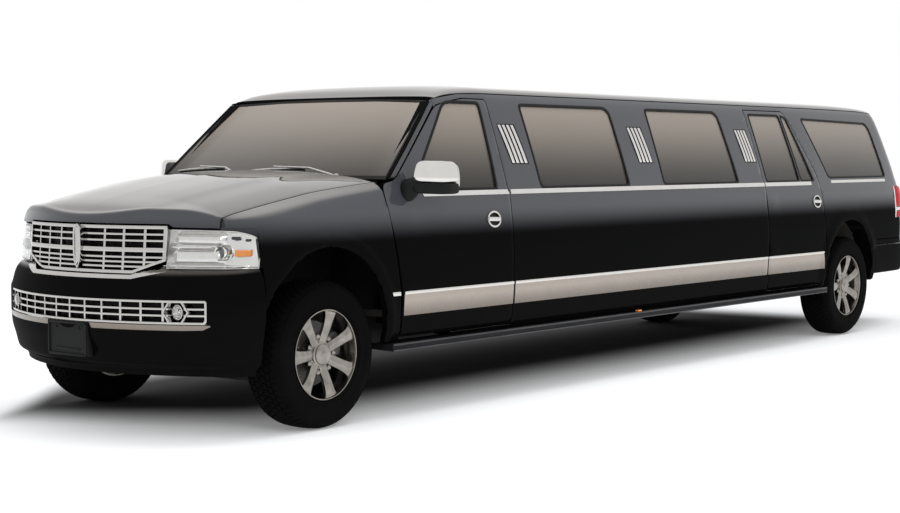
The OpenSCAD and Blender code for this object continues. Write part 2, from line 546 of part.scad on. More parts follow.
// Chrome grilles: frames on the bowed nose with crossing bars
low_grille_z0 = 608;
low_grille_z1 = 734;
grille_mid = 987;
grille_z0 = grille_mid - 125;
grille_z1 = grille_mid + 125;
module grille_upright(y, front, depth, z0, z1, w) {
    translate([nose_x(y, front, body_half - 10) - depth, y - w / 2, z0]) cube([depth, w, z1 - z0]);
}
grille_foot = 360;                    // half of its lower edge, between the cut corners
grille_cut = 68;                      // how far the cut corners reach up
module grille() {
    lean = 18;
    pitch = grille_half / (grille_columns + 0.35);
    corner_z = grille_z0 + grille_cut;
    color(chrome) {
        intersection() {
            along([[-grille_foot, grille_z0], [grille_foot, grille_z0], [grille_half, corner_z], [grille_half, grille_z1 + 5],
                [-grille_half, grille_z1 + 5], [-grille_half, corner_z]], support_x, nose);
            union() {
                for (z = [grille_z0, grille_mid - 12, grille_z1 - 20])
                    nose_band(grille_x + (z < grille_mid ? lean : 0), grille_half, 46, z, z + 22);
                for (z = [grille_z0 + 42, grille_z0 + 64, grille_z0 + 86, grille_mid + 38, grille_mid + 64, grille_mid + 90])
                    nose_band(grille_x - 8, grille_half - 10, 30, z - bar / 2, z + bar / 2);
                for (s = [-1, 1], i = [1:grille_columns])
                    grille_upright(s * i * pitch, grille_x - 3, 38, grille_z0 + 5, grille_z1 - 5, bar + 4);
                for (s = [-1, 1]) grille_upright(s * (grille_half - 9), grille_x, 46, grille_z0, grille_z1, 18);
                both_sides() intersection() {
                    along([[grille_foot - 8, grille_z0], [grille_half, corner_z], [grille_half, corner_z + 24],
                        [grille_foot - 16, grille_z0 + 18]], support_x, nose);
                    nose_band(grille_x + lean, grille_half, 46, grille_z0, corner_z + 24);
                }
            }
        }
        block([grille_x - 30, -70, grille_z0], [grille_x + 16, 70, grille_z1 - 4]);
        // shelf back to the radiator support
        intersection() {
            nose_band(grille_x - 20, grille_foot, 300, grille_z0 + 2, grille_z0 + 12);
            block([support_x + seat, -600, grille_z0], [nose, 600, grille_z1]);
        }
        grille_trim();
    }
}
// Bright strip on the bumper that follows the grille's lower edge and its cut corners
module grille_trim() {
    z = grille_z0 - 24;
    intersection() {
        nose_band(grille_x + 50, grille_half + 40, 10, z, shelf_z);
        along([[-395, z], [395, z], [545, z + 40], [545, shelf_z], [505, shelf_z], [380, z + 22], [-380, z + 22],
            [-505, shelf_z], [-545, shelf_z], [-545, z + 40]], support_x, nose);
    }
}
module lower_grille() {
    color(chrome) {
        for (z = [low_grille_z0, low_grille_z1 - 14]) nose_band(nose - 6, low_grille_half, 60, z, z + 14);
        for (z = [low_grille_z0 + 44, low_grille_z0 + 84])
            nose_band(nose - 16, low_grille_half - 10, 30, z - bar / 2, z + bar / 2);
        for (i = [-7:7]) grille_upright(i * 98, nose - 14, 40, low_grille_z0 + 4, low_grille_z1 - 4, bar);
        for (s = [-1, 1]) grille_upright(s * (low_grille_half - 8), nose - 10, 60, low_grille_z0, low_grille_z1, 16);
        for (s = [-1, 1]) translate([nose_x(fog_y, nose, body_half - 10), s * fog_y, (low_grille_z0 + low_grille_z1) / 2])
            rotate([0, 90, 0]) {
                // lens in a six-sided frame
                translate([0, 0, -60]) cylinder(r = fog_r, h = 46, $fn = 40);
                difference() {
                    translate([0, 0, -40]) rotate([0, 0, 30]) cylinder(r = fog_r + 24, h = 38, $fn = 6);
                    translate([0, 0, -15]) cylinder(r = fog_r, h = 20, $fn = 40);
                }
            }
    }
}
fog_r = 46;
fog_y = 585;

// Headlamps between the grille, the bonnet's edge, the bumper and the wings
lamp_in = grille_half + 4;
lamp_out = 915;
lamp_rear = front_axle + 474;         // front edge of the wings beside the lamps
lamp_high = 1096;                     // tops of the lamps at the grille
lamp_line = [[lamp_in, lamp_high], [830, lamp_high - 8], [885, lamp_high - 24], [lamp_out, lamp_high - 56]];
lamp_depths = [[830, 110], [885, 58], [lamp_out, 16]];
lamp_lean = 0.16;                     // how far the lamps lean back, per mm of height
module headlamp() {
    ys = [lamp_in, 620, 740, 830, 885, lamp_out];
    function spot(y, t, depth) = let(z = mix(shelf_z + seat, lookup(y, lamp_line), t))
        [nose_x(y, grille_x + 16 - lamp_lean * (z - shelf_z), body_half - 15) - depth, y, z];
    color(tint) skin([for (t = [1, 0.5, 0]) [for (y = ys) spot(y, t, 0)]],
        [for (t = [1, 0.5, 0]) [for (y = ys) spot(y, t, lookup(y, lamp_depths))]]);
}
module headlamps() both_sides() headlamp();

// Tail lamps round the rear corners
module tail_lamps() {
    both_sides() color([0.6, 0.02, 0.03]) intersection() {
        side_shell(tail_stations, from = 2);
        block([tail - 10, tailgate_half + shut_gap, lamp_low], [lamp_side_x, 1100, lamp_top]);
    }
}

// Tailgate, hinged at the roof, with its window
tailgate_half = 840;
gate_wall = 70;
gate_low = rear_bumper_top + 12;
gate_top = rail_top - 46;
gate_gap = shut_gap + 2;               // wider at the sides, which converge upwards
function gate_half(z) = lookup(z, [[700, tailgate_half], [belt_height, tailgate_half - 8], [1800, tailgate_half - 145],
    [1900, tailgate_half - 175]]);
gate_rows = [gate_low, 860, 1100, belt_height, upper(220), upper(420), gate_top];
gate_shares = [-1, -0.85, -0.5, 0, 0.5, 0.85, 1];
function gate_spot(z, s, depth) = [tail_x(z) - 25 * (1 - s * s) + 38 * pow(s, 6) + depth, s * gate_half(z), z];
module gate_skin(rows, near, far) {
    skin([for (z = rows) [for (s = gate_shares) gate_spot(z, -s, near)]],
        [for (z = rows) [for (s = gate_shares) gate_spot(z, -s, far)]]);
}
module tailgate() {
    color(black) difference() {
        union() {
            gate_skin(gate_rows, 0, gate_wall);
            both_sides() block([gate_pin_x - 11, gate_pin_y, gate_top - 20], [gate_pin_x + 11, gate_pin_y + 16, gate_pin_z + 11]);
        }
        along(gate_window, tail - 50, tail + 600);
        plate_holes(tail, gate_plate_z, 400);
        both_sides() block([gate_pin_x - 20, gate_pin_y - 26, gate_pin_z - 20], [gate_pin_x + 80, gate_pin_y - 0.5, gate_top + 20]);
        translate([gate_pin_x, -gate_pin_y - 40, gate_pin_z]) rotate([-90, 0, 0])
            cylinder(r = gate_pin_r + 0.05, h = 2 * gate_pin_y + 80, $fn = 32);
    }
}

// Tailgate hinges: eyes on its upper edge, on pins that brackets under the roof carry
gate_pin_x = tail + 412.5;
gate_pin_z = gate_top + 8;
gate_pin_y = 500;
gate_pin_r = 6;
module gate_pin() {
    block([gate_pin_x - 8, gate_pin_y - 20, gate_pin_z - 9], [tail + 460, gate_pin_y - 6, gate_pin_z + 14]);
    translate([gate_pin_x, gate_pin_y - 10, gate_pin_z]) rotate([-90, 0, 0]) cylinder(r = gate_pin_r, h = 30, $fn = 32);
}
gate_plate_z = 960;
module tailgate_space() {
    zs = [gate_low - shut_gap, 860, 1100, belt_height, upper(220), upper(420), gate_top + shut_gap];
    intersection() {
        across([each [for (z = zs) [tail_x(z) + 38 + gate_wall + shut_gap, z]], [tail - 20, gate_top + shut_gap],
            [tail - 20, gate_low - shut_gap]], 0, 1100);
        along([[0, gate_low - shut_gap], each [for (z = zs) [gate_half(z) + gate_gap, z]], [0, gate_top + shut_gap]],
            tail - 30, tail + 700);
    }
}
gate_window = [[-tailgate_half + 90, belt_height + 22], [tailgate_half - 90, belt_height + 22],
    [tailgate_half - 200, upper(465)], [-tailgate_half + 200, upper(465)]];
module tailgate_glass() {
    color(tint) intersection() {
        gate_skin([belt_height, upper(220), upper(420), upper(480)], 10, 10 + glass);
        along(inset(gate_window, seat), tail - 50, tail + 600);
    }
}

// Rear bumper round the tail
module rear_bumper() {
    outer = [[rear_axle - arch_r - 50 - seat, body_half - 30], [tail + 330, body_half - 52], [tail + 170, body_half - 90],
        [tail + 80, body_half - 170], [tail + 25, body_half - 400], [tail, 0]];
    band = [each outer, each [for (i = [4:-1:0]) [outer[i][0], -outer[i][1]]]];
    inner = [for (p = band) [p[0] + (abs(p[1]) < 880 ? 80 : 0), p[1] * (abs(p[1]) < 880 ? 0.97 : 0.9)]];
    color(black) difference() {
        for (z = [[470, rear_bumper_top - 60, 0], [rear_bumper_top - 61, rear_bumper_top, 14]])
            translate([z[2], 0, z[0]]) linear_extrude(z[1] - z[0])
                polygon([each band, each [for (i = [10:-1:0]) inner[i]]]);
        block([band[0][0], -1100, 400], [band[0][0] + 100, 1100, 900]);
    }
}

// Running boards between the wheels, carried by brackets from the frame
board_front = front_axle - arch_r - 12;
board_rear = rear_axle + arch_r + 12;
board_z = 382;
board_in = body_half - 140;
module running_boards() {
    both_sides() color(black) {
        block([board_rear, board_in, board_z], [board_front, body_half + 25, board_z + 40]);
        for (i = [0:4]) translate([mix(board_rear + 200, board_front - 260, i / 4), rail_out + seat, board_z + 2])
            cube([60, board_in + 1 - rail_out - seat, 30]);
    }
}

// Mirrors on the front doors
mirror_x = front_axle - 800;
mirror_y = body_half + 50;
mirror_z = belt_height + 82;
arm_z = belt_height + 7;
arm_r = 44;
module mirror_side() {
    arm_x = mirror_x + 105;
    color(chrome) translate([mirror_x, mirror_y, mirror_z]) {
        // housing, drawn back at its outer end
        hull() for (p = [[66, 0], [-62, -6], [22, 112], [-96, 104]], dz = [-62, 62])
            translate([p[0] + (dz > 0 ? -8 : 0), p[1], dz]) sphere(r = 28, $fn = 20);
        // arm on the door's skin below the window's front corner
        hull() {
            translate([arm_x - mirror_x, side_y(arm_x, 0, lookup(arm_z - arm_r, lower_rows)) - mirror_y + seat, arm_z - mirror_z])
                rotate([-90, 0, 0]) cylinder(r = arm_r, h = 14, $fn = 32);
            translate([62, 6, -54]) sphere(r = 30, $fn = 20);
        }
    }
}

// Wheels: a tyre, a rim with seven broad spokes, a hub and a brake disc
module tyre_shape() {
    shoulder = 34;
    color(rubber) rotate([-90, 0, 0]) rotate_extrude($fn = 48) polygon([
        [rim_r + 0.3, -tyre_w / 2 + 26], [rim_r + 22, -tyre_w / 2 + 8], [rim_r + 80, -tyre_w / 2],
        [tyre_r - shoulder, -tyre_w / 2 + 10], [tyre_r - 8, -tyre_w / 2 + 30], [tyre_r, -tyre_w / 2 + 62],
        [tyre_r, tyre_w / 2 - 62], [tyre_r - 8, tyre_w / 2 - 30], [tyre_r - shoulder, tyre_w / 2 - 10],
        [rim_r + 80, tyre_w / 2], [rim_r + 22, tyre_w / 2 - 8], [rim_r + 0.3, tyre_w / 2 - 26]]);
}
hub_bore = 32.05;
spindle_r = 32;
module wheel_shape() {
    out = tyre_w / 2 - 14;
    color(chrome) rotate([-90, 0, 0]) difference() {
        union() {
            // barrel with its lips
            rotate_extrude($fn = 72) polygon([[rim_r - 22, -out], [rim_r, -out], [rim_r, out + 4], [rim_r - 12, out + 4],
                [rim_r - 22, out - 16]]);
            // dished face
            rotate_extrude($fn = 72) polygon([[hub_bore, out - 92], [90, out - 92], [100, out - 60], [rim_r - 21, out - 34],
                [rim_r - 21, out - 12], [rim_r - 60, out - 4], [130, out - 14], [92, out - 30], [60, out - 30],
                [hub_bore, out - 30]]);
            // hub and brake disc
            rotate_extrude($fn = 72) polygon([[hub_bore, -25], [70, -25], [70, -10], [178, -10], [178, 10], [78, 10],
                [78, out - 91], [hub_bore, out - 91]]);
            translate([0, 0, out - 31]) cylinder(r = 62, h = 22, $fn = 48);
        }
        for (i = [0:spokes - 1]) rotate([0, 0, i * 360 / spokes]) translate([0, 0, out - 70]) linear_extrude(90)
            polygon([[112, 0], [132, -22], [208, -50], [216, -26], [218, 0], [216, 26], [208, 50], [132, 22]]);
        translate([0, 0, -60]) cylinder(r = hub_bore, h = out - 31 + 60, $fn = 72);
    }
}
module at_wheel(x, side) {
    translate([x, side * half_track, tyre_r]) rotate([0, 0, side > 0 ? 0 : 180]) children();
}

// Steered knuckles on upright pins, with the spindles that the front wheels turn on
kingpin = half_track - 45;
arm_rise = 146;
pin_r = 14;
pin_bore = 14.05;
module spindle(from) {
    rotate([-90, 0, 0]) translate([0, 0, from - half_track])
        cylinder(r = spindle_r, h = half_track + tyre_w / 2 - 14 - 40 - from, $fn = 72);
}
module knuckle() {
    color(steel) translate([front_axle, half_track, tyre_r]) {
        spindle(kingpin - 20);
        translate([-34, kingpin - half_track - 24, -arm_rise + 16]) cube([68, 30, 2 * arm_rise - 32]);
        translate([0, kingpin - half_track, 0]) {
            for (s = [0, 1]) mirror([0, 0, s]) translate([0, 0, arm_rise - 18]) cylinder(r = pin_r, h = 32, $fn = 48);
            for (s = [0, 1]) mirror([0, 0, s]) translate([0, 0, arm_rise - 30]) cylinder(r = 30, h = 20, $fn = 48);
        }
    }
}

// Ladder frame
rail_in = 415;
rail_out = 495;
rail_under = 410;
module chassis_frame() {
    side_view = [[tail + 190, 470], [rear_axle - 500, 470], [rear_axle + 420, 470], [rear_axle + 640, rail_under],
        [front_axle - 620, rail_under], [front_axle - 420, 445], [front_axle + 690, 445],
        [front_axle + 690, floor_z - seat], [tail + 190, floor_z - seat]];
    color(steel) {
        both_sides() across(side_view, rail_in, rail_out);
        for (x = [tail + 260, rear_axle - 420, rear_axle + 560, -900, 800, 1900, front_axle - 430, front_axle + 330,
            front_axle + 620])
            block([x - 40, -rail_in - 1, 500], [x + 40, rail_in + 1, floor_z - seat]);
        // cradle that carries the lower arms
        block([front_axle - 110, -rail_out, 235], [front_axle + 110, rail_out, 275]);
        both_sides() block([front_axle - 80, rail_in, 274], [front_axle + 80, rail_out, 446]);
    }
}
module front_suspension() {
    color(steel) both_sides() for (z = [[-1, 22], [1, -2]]) difference() {
        union() {
            translate([front_axle, 0, tyre_r + z[0] * arm_rise - 9]) {
                linear_extrude(18) polygon([[-100, rail_out + seat], [100, rail_out + seat], [60, rail_out + 120],
                    [26, kingpin], [-26, kingpin], [-60, rail_out + 120]]);
                translate([0, kingpin, 0]) cylinder(r = 28, h = 18, $fn = 48);
            }
        }
        translate([front_axle, kingpin, tyre_r + z[0] * arm_rise - 30]) cylinder(r = pin_bore, h = 60, $fn = 48);
    }
}

// Live rear axle with its differential, spindles and spring seats
module rear_suspension() {
    color(steel) translate([rear_axle, 0, tyre_r]) {
        rotate([-90, 0, 0]) translate([0, 0, -kingpin]) cylinder(r = 45, h = 2 * kingpin, $fn = 48);
        rotate([-90, 0, 0]) translate([0, 0, -70]) cylinder(r = 150, h = 140, $fn = 64);
        rotate([0, 90, 0]) cylinder(r = 60, h = 240, $fn = 48);
        for (s = [-1, 1]) {
            translate([0, s * half_track, 0]) mirror([0, s < 0 ? 1 : 0, 0]) spindle(kingpin - 30);
            translate([-70, s * (rail_in + rail_out) / 2 - 35, 0]) cube([140, 70, 65 - seat]);
        }
    }
}

// Gearbox, propeller shaft and exhaust under the floor
shaft_r = 38;
module driveline() {
    color(steel) {
        block([front_axle - 1180, -150, 380], [front_axle - 520, 150, 499]);
        translate([rear_axle + 240 + seat, 0, 430]) rotate([0, 90, 0])
            cylinder(r = shaft_r, h = front_axle - 1179 - rear_axle - 240, $fn = 48);
    }
}
module engine_block() {
    color(steel) block([front_axle - 400, -290, floor_z], [front_axle + 420, 290, 1090]);
}

// Cabin floor with the rear wheel housings
module floor_pan() {
    ends = [tail + 230, rear_axle - 700, rear_axle, rear_axle + 800, front_axle - 800, firewall_x - seat];
    function side(x) = plan_half(x) - corner(x - tail_x(600)) - wall - 18;
    house = arch_r - 15;
    house_out = plan_half(rear_axle - arch_r) - wall - 14;
    color(steel) {
        difference() {
            translate([0, 0, floor_z]) linear_extrude(40) polygon([each [for (x = ends) [x, side(x)]],
                each [for (i = [5:-1:0]) [ends[i], -side(ends[i])]]]);
            both_sides() block([rear_axle - house, house_in, 500], [rear_axle + house, 1100, 700]);
            both_sides() sill_space();
        }
        both_sides() translate([rear_axle, house_out, 0]) rotate([90, 0, 0]) linear_extrude(house_out - house_in)
            difference() {
                circle_arch(house);
                circle_arch(house - 12);
            }
        both_sides() translate([rear_axle, house_in + 12, 0]) rotate([90, 0, 0]) linear_extrude(12)
            intersection() {
                circle_arch(house);
                translate([-house, floor_z]) square([2 * house, 600]);
            }
    }
}
house_in = 690;
module circle_arch(r) {
    intersection() {
        translate([0, arch_height]) circle(r = r, $fn = 72);
        translate([-r, floor_z]) square([2 * r, r]);
    }
}
module sill_space() {
    side_shell([rear_axle + arch_r + 18, rear_axle + 800, front_axle - 800, screen_base_x - 148],
        from = wall - 3, thick = 84, rows = [1, 2]);
}

// Cabin: dashboard, steering wheel, front seats and the lounge bench
module dashboard() {
    x0 = firewall_x - 42;
    color([0.08, 0.08, 0.08]) {
        across([[x0, belt_height - 24], [x0 - 330, belt_height - 60], [x0 - 380, belt_height - 130],
            [x0 - 300, belt_height - 260], [x0 - 120, belt_height - 330], [x0, belt_height - 330]], -post_y + 62, post_y - 62);
        block([x0 - 1, -700, belt_height - 330], [firewall_x - seat, 700, belt_height - 25]);
        at_steering() translate([0, 0, -45 - seat - 150]) cylinder(r = 38, h = 150, $fn = 48);
    }
}
wheel_tilt = 25;
steer_hub = [front_axle - 1085, 400, belt_height - 195];
module at_steering() translate(steer_hub) rotate([0, -90 + wheel_tilt, 0]) children();
module steering_wheel() {
    color([0.08, 0.08, 0.08]) at_steering() {
        rotate_extrude($fn = 64) translate([185, 0]) circle(r = 15, $fn = 24);
        for (a = [0, 90, 180]) rotate([0, 0, a]) translate([-12, 20, -30]) cube([24, 158, 22]);
        translate([0, 0, -45]) cylinder(r = 45, h = 40, $fn = 48);
    }
}
module chair(x, y) {
    translate([x, y, 0]) {
        across([[0, floor_top + seat], [0, 930], [520, 960], [540, 900], [480, floor_top + seat]], -260, 260);
        across([[-1, 900], [-190, 1480], [-80, 1500], [60, 931], [60, 900]], -250, 250);
        across([[-215, 1510], [-225, 1690], [-135, 1700], [-120, 1510]], -130, 130);
        across([[-190, 1470], [-200, 1520], [-150, 1520], [-140, 1470]], -60, 60);
    }
}
module seats() {
    color([0.12, 0.11, 0.11]) {
        for (s = [-1, 1]) chair(front_axle - 1765, s * 400);
        // lounge bench along the right side and across the tail
        bench_y = body_half - 200;
        block([rear_axle + 490, -bench_y, floor_top + seat], [front_axle - 2500, -bench_y + 560, 1000]);
        block([rear_axle + 490, -bench_y, 999], [front_axle - 2500, -bench_y + 130, 1245]);
        block([rear_axle - 260, -680, floor_top + seat], [rear_axle + 300, 680, 1000]);
        block([rear_axle - 380, -660, floor_top + seat], [rear_axle - 259, 660, 1420]);
    }
}

chassis_frame();
floor_pan();
body_side();  // body_side_left
mirror([0, 1, 0]) body_side();  // body_side_right
roof();
front_wings();
front_structure();
bonnet();
front_bumper();
rear_bumper();
tailgate();
tailgate_glass();
door_front();  // door_front_left
mirror([0, 1, 0]) door_front();  // door_front_right
door_rear();  // door_rear_left
mirror([0, 1, 0]) door_rear();  // door_rear_right
glass_front();  // door_glass_front_left
mirror([0, 1, 0]) glass_front();  // door_glass_front_right
glass_rear();  // door_glass_rear_left
mirror([0, 1, 0]) glass_rear();  // door_glass_rear_right
windscreen();
side_glass();
grille();
lower_grille();
headlamps();
tail_lamps();
running_boards();
mirror_side();  // mirror_left
mirror([0, 1, 0]) mirror_side();  // mirror_right
plate_bracket();
at_wheel(front_axle, 1) tyre_shape();  // tyre_front_left
at_wheel(front_axle, -1) tyre_shape();  // tyre_front_right
at_wheel(rear_axle, 1) tyre_shape();  // tyre_rear_left
at_wheel(rear_axle, -1) tyre_shape();  // tyre_rear_right
at_wheel(front_axle, 1) wheel_shape();  // wheel_front_left
at_wheel(front_axle, -1) wheel_shape();  // wheel_front_right
at_wheel(rear_axle, 1) wheel_shape();  // wheel_rear_left
at_wheel(rear_axle, -1) wheel_shape();  // wheel_rear_right
knuckle();  // knuckle_left
mirror([0, 1, 0]) knuckle();  // knuckle_right
front_suspension();
rear_suspension();
driveline();
engine_block();
dashboard();
steering_wheel();
seats();
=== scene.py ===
"""Stretch limousine: gloss paint, tinted glass, chrome, lamps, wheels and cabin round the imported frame.

The file is laid out as an add-on: property groups hold the sizes and colours that may be changed,
one operator makes each piece or group of like pieces, and main() calls them in order.
Everything is in metres: +X is forward, +Y is the vehicle's left, +Z is up.
"""

import math
from bisect import bisect_right

import bmesh
import bpy
from mathutils import Matrix, Vector


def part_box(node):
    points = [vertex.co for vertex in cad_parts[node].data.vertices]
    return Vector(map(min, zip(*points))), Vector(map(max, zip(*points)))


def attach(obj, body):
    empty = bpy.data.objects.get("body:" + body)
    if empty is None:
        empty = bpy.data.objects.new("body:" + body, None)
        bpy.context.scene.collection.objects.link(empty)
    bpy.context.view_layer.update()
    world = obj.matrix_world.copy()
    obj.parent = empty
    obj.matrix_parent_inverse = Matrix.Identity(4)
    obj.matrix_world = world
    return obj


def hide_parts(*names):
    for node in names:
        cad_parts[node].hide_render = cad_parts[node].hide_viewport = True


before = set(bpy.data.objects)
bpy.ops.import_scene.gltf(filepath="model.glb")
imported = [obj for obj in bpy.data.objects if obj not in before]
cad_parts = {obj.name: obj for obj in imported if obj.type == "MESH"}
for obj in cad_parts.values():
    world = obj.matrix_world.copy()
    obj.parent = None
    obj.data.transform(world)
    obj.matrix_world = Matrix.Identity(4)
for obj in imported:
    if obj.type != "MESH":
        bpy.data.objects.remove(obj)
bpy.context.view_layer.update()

bl_info = {
    "name": "Stretch limousine",
    "version": (1, 0, 0),
    "blender": (4, 5, 0),
    "location": "View3D > Sidebar > Limousine",
    "description": "Body panels, glass, chrome, lamps, wheels and cabin of a stretch limousine",
    "category": "Object",
}


# Places taken from the frame
def middle(node):
    """Middle of a node's box at rest."""
    low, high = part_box(node)
    return (low + high) / 2


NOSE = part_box("front_bumper")[1].x
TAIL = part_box("rear_bumper")[0].x
FRONT_HUB = middle("tyre_front_left")
REAR_HUB = middle("tyre_rear_left")
FRONT_AXLE = FRONT_HUB.x
REAR_AXLE = REAR_HUB.x
TYRE_R = (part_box("tyre_front_left")[1].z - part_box("tyre_front_left")[0].z) / 2
TYRE_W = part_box("tyre_front_left")[1].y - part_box("tyre_front_left")[0].y
GRILLE_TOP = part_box("grille")[1].z
GRILLE_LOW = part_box("grille")[0].z
GRILLE_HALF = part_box("grille")[1].y
LOW_GRILLE_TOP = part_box("lower_grille")[1].z
LOW_GRILLE_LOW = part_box("lower_grille")[0].z
LOW_GRILLE_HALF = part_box("lower_grille")[1].y
ROOF_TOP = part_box("roof")[1].z
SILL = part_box("door_front_left")[0].z
BOARD_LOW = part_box("running_boards")[0]
BOARD_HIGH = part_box("running_boards")[1]
GRILLE_X = NOSE - 0.092
SHELF = 0.893
BELT = ROOF_TOP - 0.635
LAMP_IN = GRILLE_HALF + 0.004
LAMP_OUT = 0.934
SCREEN_BASE = Vector((FRONT_AXLE - 0.467, 0, BELT + 0.062))
SCREEN_TOP = Vector((FRONT_AXLE - 1.102, 0, ROOF_TOP - 0.096))
SCREEN_BOW = 0.15
BUMPER_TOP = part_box("rear_bumper")[1].z
ARCH_R = 0.475
ARCH_Z = 0.512


# Property groups
class LIMO_PG_body(bpy.types.PropertyGroup):
    """Sizes of the body panels and their trim."""

    skin: bpy.props.FloatProperty(
        name="Skin", description="Thickness of the outer panels", default=0.004, min=0.002, max=0.008, unit="LENGTH")
    proud: bpy.props.FloatProperty(
        name="Proud", description="How far the panels stand over the structure",
        default=0.0015, min=0.0, max=0.004, unit="LENGTH")
    edge: bpy.props.FloatProperty(
        name="Edge", description="Width of the rounded panel edges", default=0.0015, min=0.0, max=0.004, unit="LENGTH")
    shut_gap: bpy.props.FloatProperty(
        name="Shut gap", description="Width of the shut lines", default=0.007, min=0.003, max=0.01, unit="LENGTH")
    moulding: bpy.props.FloatProperty(
        name="Belt moulding", description="Height of the chrome belt moulding",
        default=0.03, min=0.01, max=0.05, unit="LENGTH")
    louvres: bpy.props.IntProperty(
        name="Louvres", description="Chrome bars in each group between the windows", default=4, min=2, max=6)


class LIMO_PG_front(bpy.types.PropertyGroup):
    """Sizes of the grilles and lamps."""

    bar: bpy.props.FloatProperty(
        name="Bar", description="Thickness of the thin grille bars", default=0.011, min=0.006, max=0.015, unit="LENGTH")
    columns: bpy.props.IntProperty(
        name="Columns", description="Columns in each half of the upper grille", default=4, min=3, max=6)
    low_columns: bpy.props.IntProperty(
        name="Lower columns", description="Columns in each half of the lower grille", default=5, min=4, max=9)


class LIMO_PG_wheels(bpy.types.PropertyGroup):
    """Sizes of the wheels and tyres."""

    spokes: bpy.props.IntProperty(name="Spokes", description="Spokes in each wheel", default=7, min=5, max=9)
    rim: bpy.props.FloatProperty(
        name="Rim", description="Radius of the rims at their lips", default=0.246, min=0.22, max=0.26, unit="LENGTH")
    blocks: bpy.props.IntProperty(
        name="Blocks", description="Tread blocks round each tyre", default=64, min=40, max=90)


class LIMO_PG_finish(bpy.types.PropertyGroup):
    """Colours of the finishes."""

    paint: bpy.props.FloatVectorProperty(
        name="Paint", description="Body paint", subtype="COLOR", size=3, default=(0.0018, 0.0018, 0.002), min=0, max=1)
    # The two colours below are painted reflections of the sky on the black paint: one above the belt line, one on faces
    # that look up.
    painted_reflection_high: bpy.props.FloatVectorProperty(
        name="Paint, upper", description="Body paint above the belt line, where it mirrors the sky",
        subtype="COLOR", size=3, default=(0.048, 0.049, 0.057), min=0, max=1)
    painted_reflection_up: bpy.props.FloatVectorProperty(
        name="Paint, facing up", description="Body paint on the bonnet and roof, where it mirrors the pale sky",
        subtype="COLOR", size=3, default=(0.13, 0.118, 0.108), min=0, max=1)
    chrome: bpy.props.FloatVectorProperty(
        name="Chrome", description="Bright metal", subtype="COLOR", size=3, default=(0.67, 0.655, 0.63), min=0, max=1)
    # The upper glass colour is a painted reflection of the sky: the glass grows paler from the belt line to the roof.
    glass_painted_reflection: bpy.props.FloatVectorProperty(
        name="Glass, upper", description="Tint of the glass at the roof",
        subtype="COLOR", size=3, default=(0.262, 0.224, 0.188), min=0, max=1)
    glass_low: bpy.props.FloatVectorProperty(
        name="Glass, lower", description="Tint of the glass at the belt line",
        subtype="COLOR", size=3, default=(0.02, 0.017, 0.0145), min=0, max=1)
    hide: bpy.props.FloatVectorProperty(
        name="Leather", description="Cabin leather", subtype="COLOR", size=3, default=(0.03, 0.028, 0.026), min=0, max=1)


class LIMO_PG_stage(bpy.types.PropertyGroup):
    """Camera, floor and light."""

    lens: bpy.props.FloatProperty(
        name="Lens", description="Focal length on a 36 mm sensor, in mm", default=69.6, min=20, max=200)
    place: bpy.props.FloatVectorProperty(
        name="Camera place", description="Where the camera stands", subtype="XYZ", size=3,
        default=(10.301, 7.258, 1.477))
    heading: bpy.props.FloatProperty(
        name="Heading", description="Direction that the camera looks in, from +X",
        default=math.radians(218.23), subtype="ANGLE")
    pitch: bpy.props.FloatProperty(
        name="Pitch", description="How far the camera looks down", default=math.radians(3.326), subtype="ANGLE")
    daylight: bpy.props.FloatProperty(
        name="Daylight", description="Strength of the even light from all round", default=0.97, min=0, max=2)


# Curves and surfaces of the body
def through(points):
    """Smooth curve through pairs of place and value, level beyond its ends."""
    xs = [p[0] for p in points]
    ys = [p[1] for p in points]
    rises = [(ys[i + 1] - ys[i]) / (xs[i + 1] - xs[i]) for i in range(len(xs) - 1)]
    inner = [0 if a * b <= 0 else 2 * a * b / (a + b) for a, b in zip(rises, rises[1:])]
    slopes = [rises[0], *inner, rises[-1]]

    def value(x):
        if x <= xs[0]:
            return ys[0]
        if x >= xs[-1]:
            return ys[-1]
        i = bisect_right(xs, x) - 1
        h = xs[i + 1] - xs[i]
        t = (x - xs[i]) / h
        return ((1 + 2 * t) * (1 - t) ** 2 * ys[i] + t * (1 - t) ** 2 * h * slopes[i]
                + t * t * (3 - 2 * t) * ys[i + 1] - t * t * (1 - t) * h * slopes[i + 1])

    return value


def mix(a, b, t):
    return a + (b - a) * t


HALF = 1.0
NOSE_BOW = 0.4
NOSE_TURN = 12
body_plan = through([
    (REAR_AXLE - 1.1, HALF - 0.052), (REAR_AXLE - 0.8, HALF - 0.034), (REAR_AXLE, HALF - 0.012),
    (REAR_AXLE + 0.8, HALF), (FRONT_AXLE - 0.8, HALF), (FRONT_AXLE, HALF - 0.008), (FRONT_AXLE + 0.7, HALF - 0.022)])
tail_x = through([
    (0.4, TAIL + 0.118), (0.75, TAIL + 0.118), (1.1, TAIL + 0.124), (BELT, TAIL + 0.152), (1.5, TAIL + 0.235),
    (1.7, TAIL + 0.325), (1.8, TAIL + 0.378), (1.86, TAIL + 0.425), (1.9, TAIL + 0.48)])
side_inset = through([
    (SILL - 0.02, 0.034), (0.52, 0.014), (0.6, 0.008), (0.7, 0.002), (0.86, 0.0), (1.0, 0.005), (1.13, 0.018),
    (BELT - 0.05, 0.032), (BELT, 0.046), (BELT + 0.14, 0.076), (BELT + 0.285, 0.11), (BELT + 0.43, 0.146),
    (BELT + 0.515, 0.17), (BELT + 0.57, 0.198), (BELT + 0.7, 0.26)])
RAIL_TOP = ROOF_TOP - 0.065
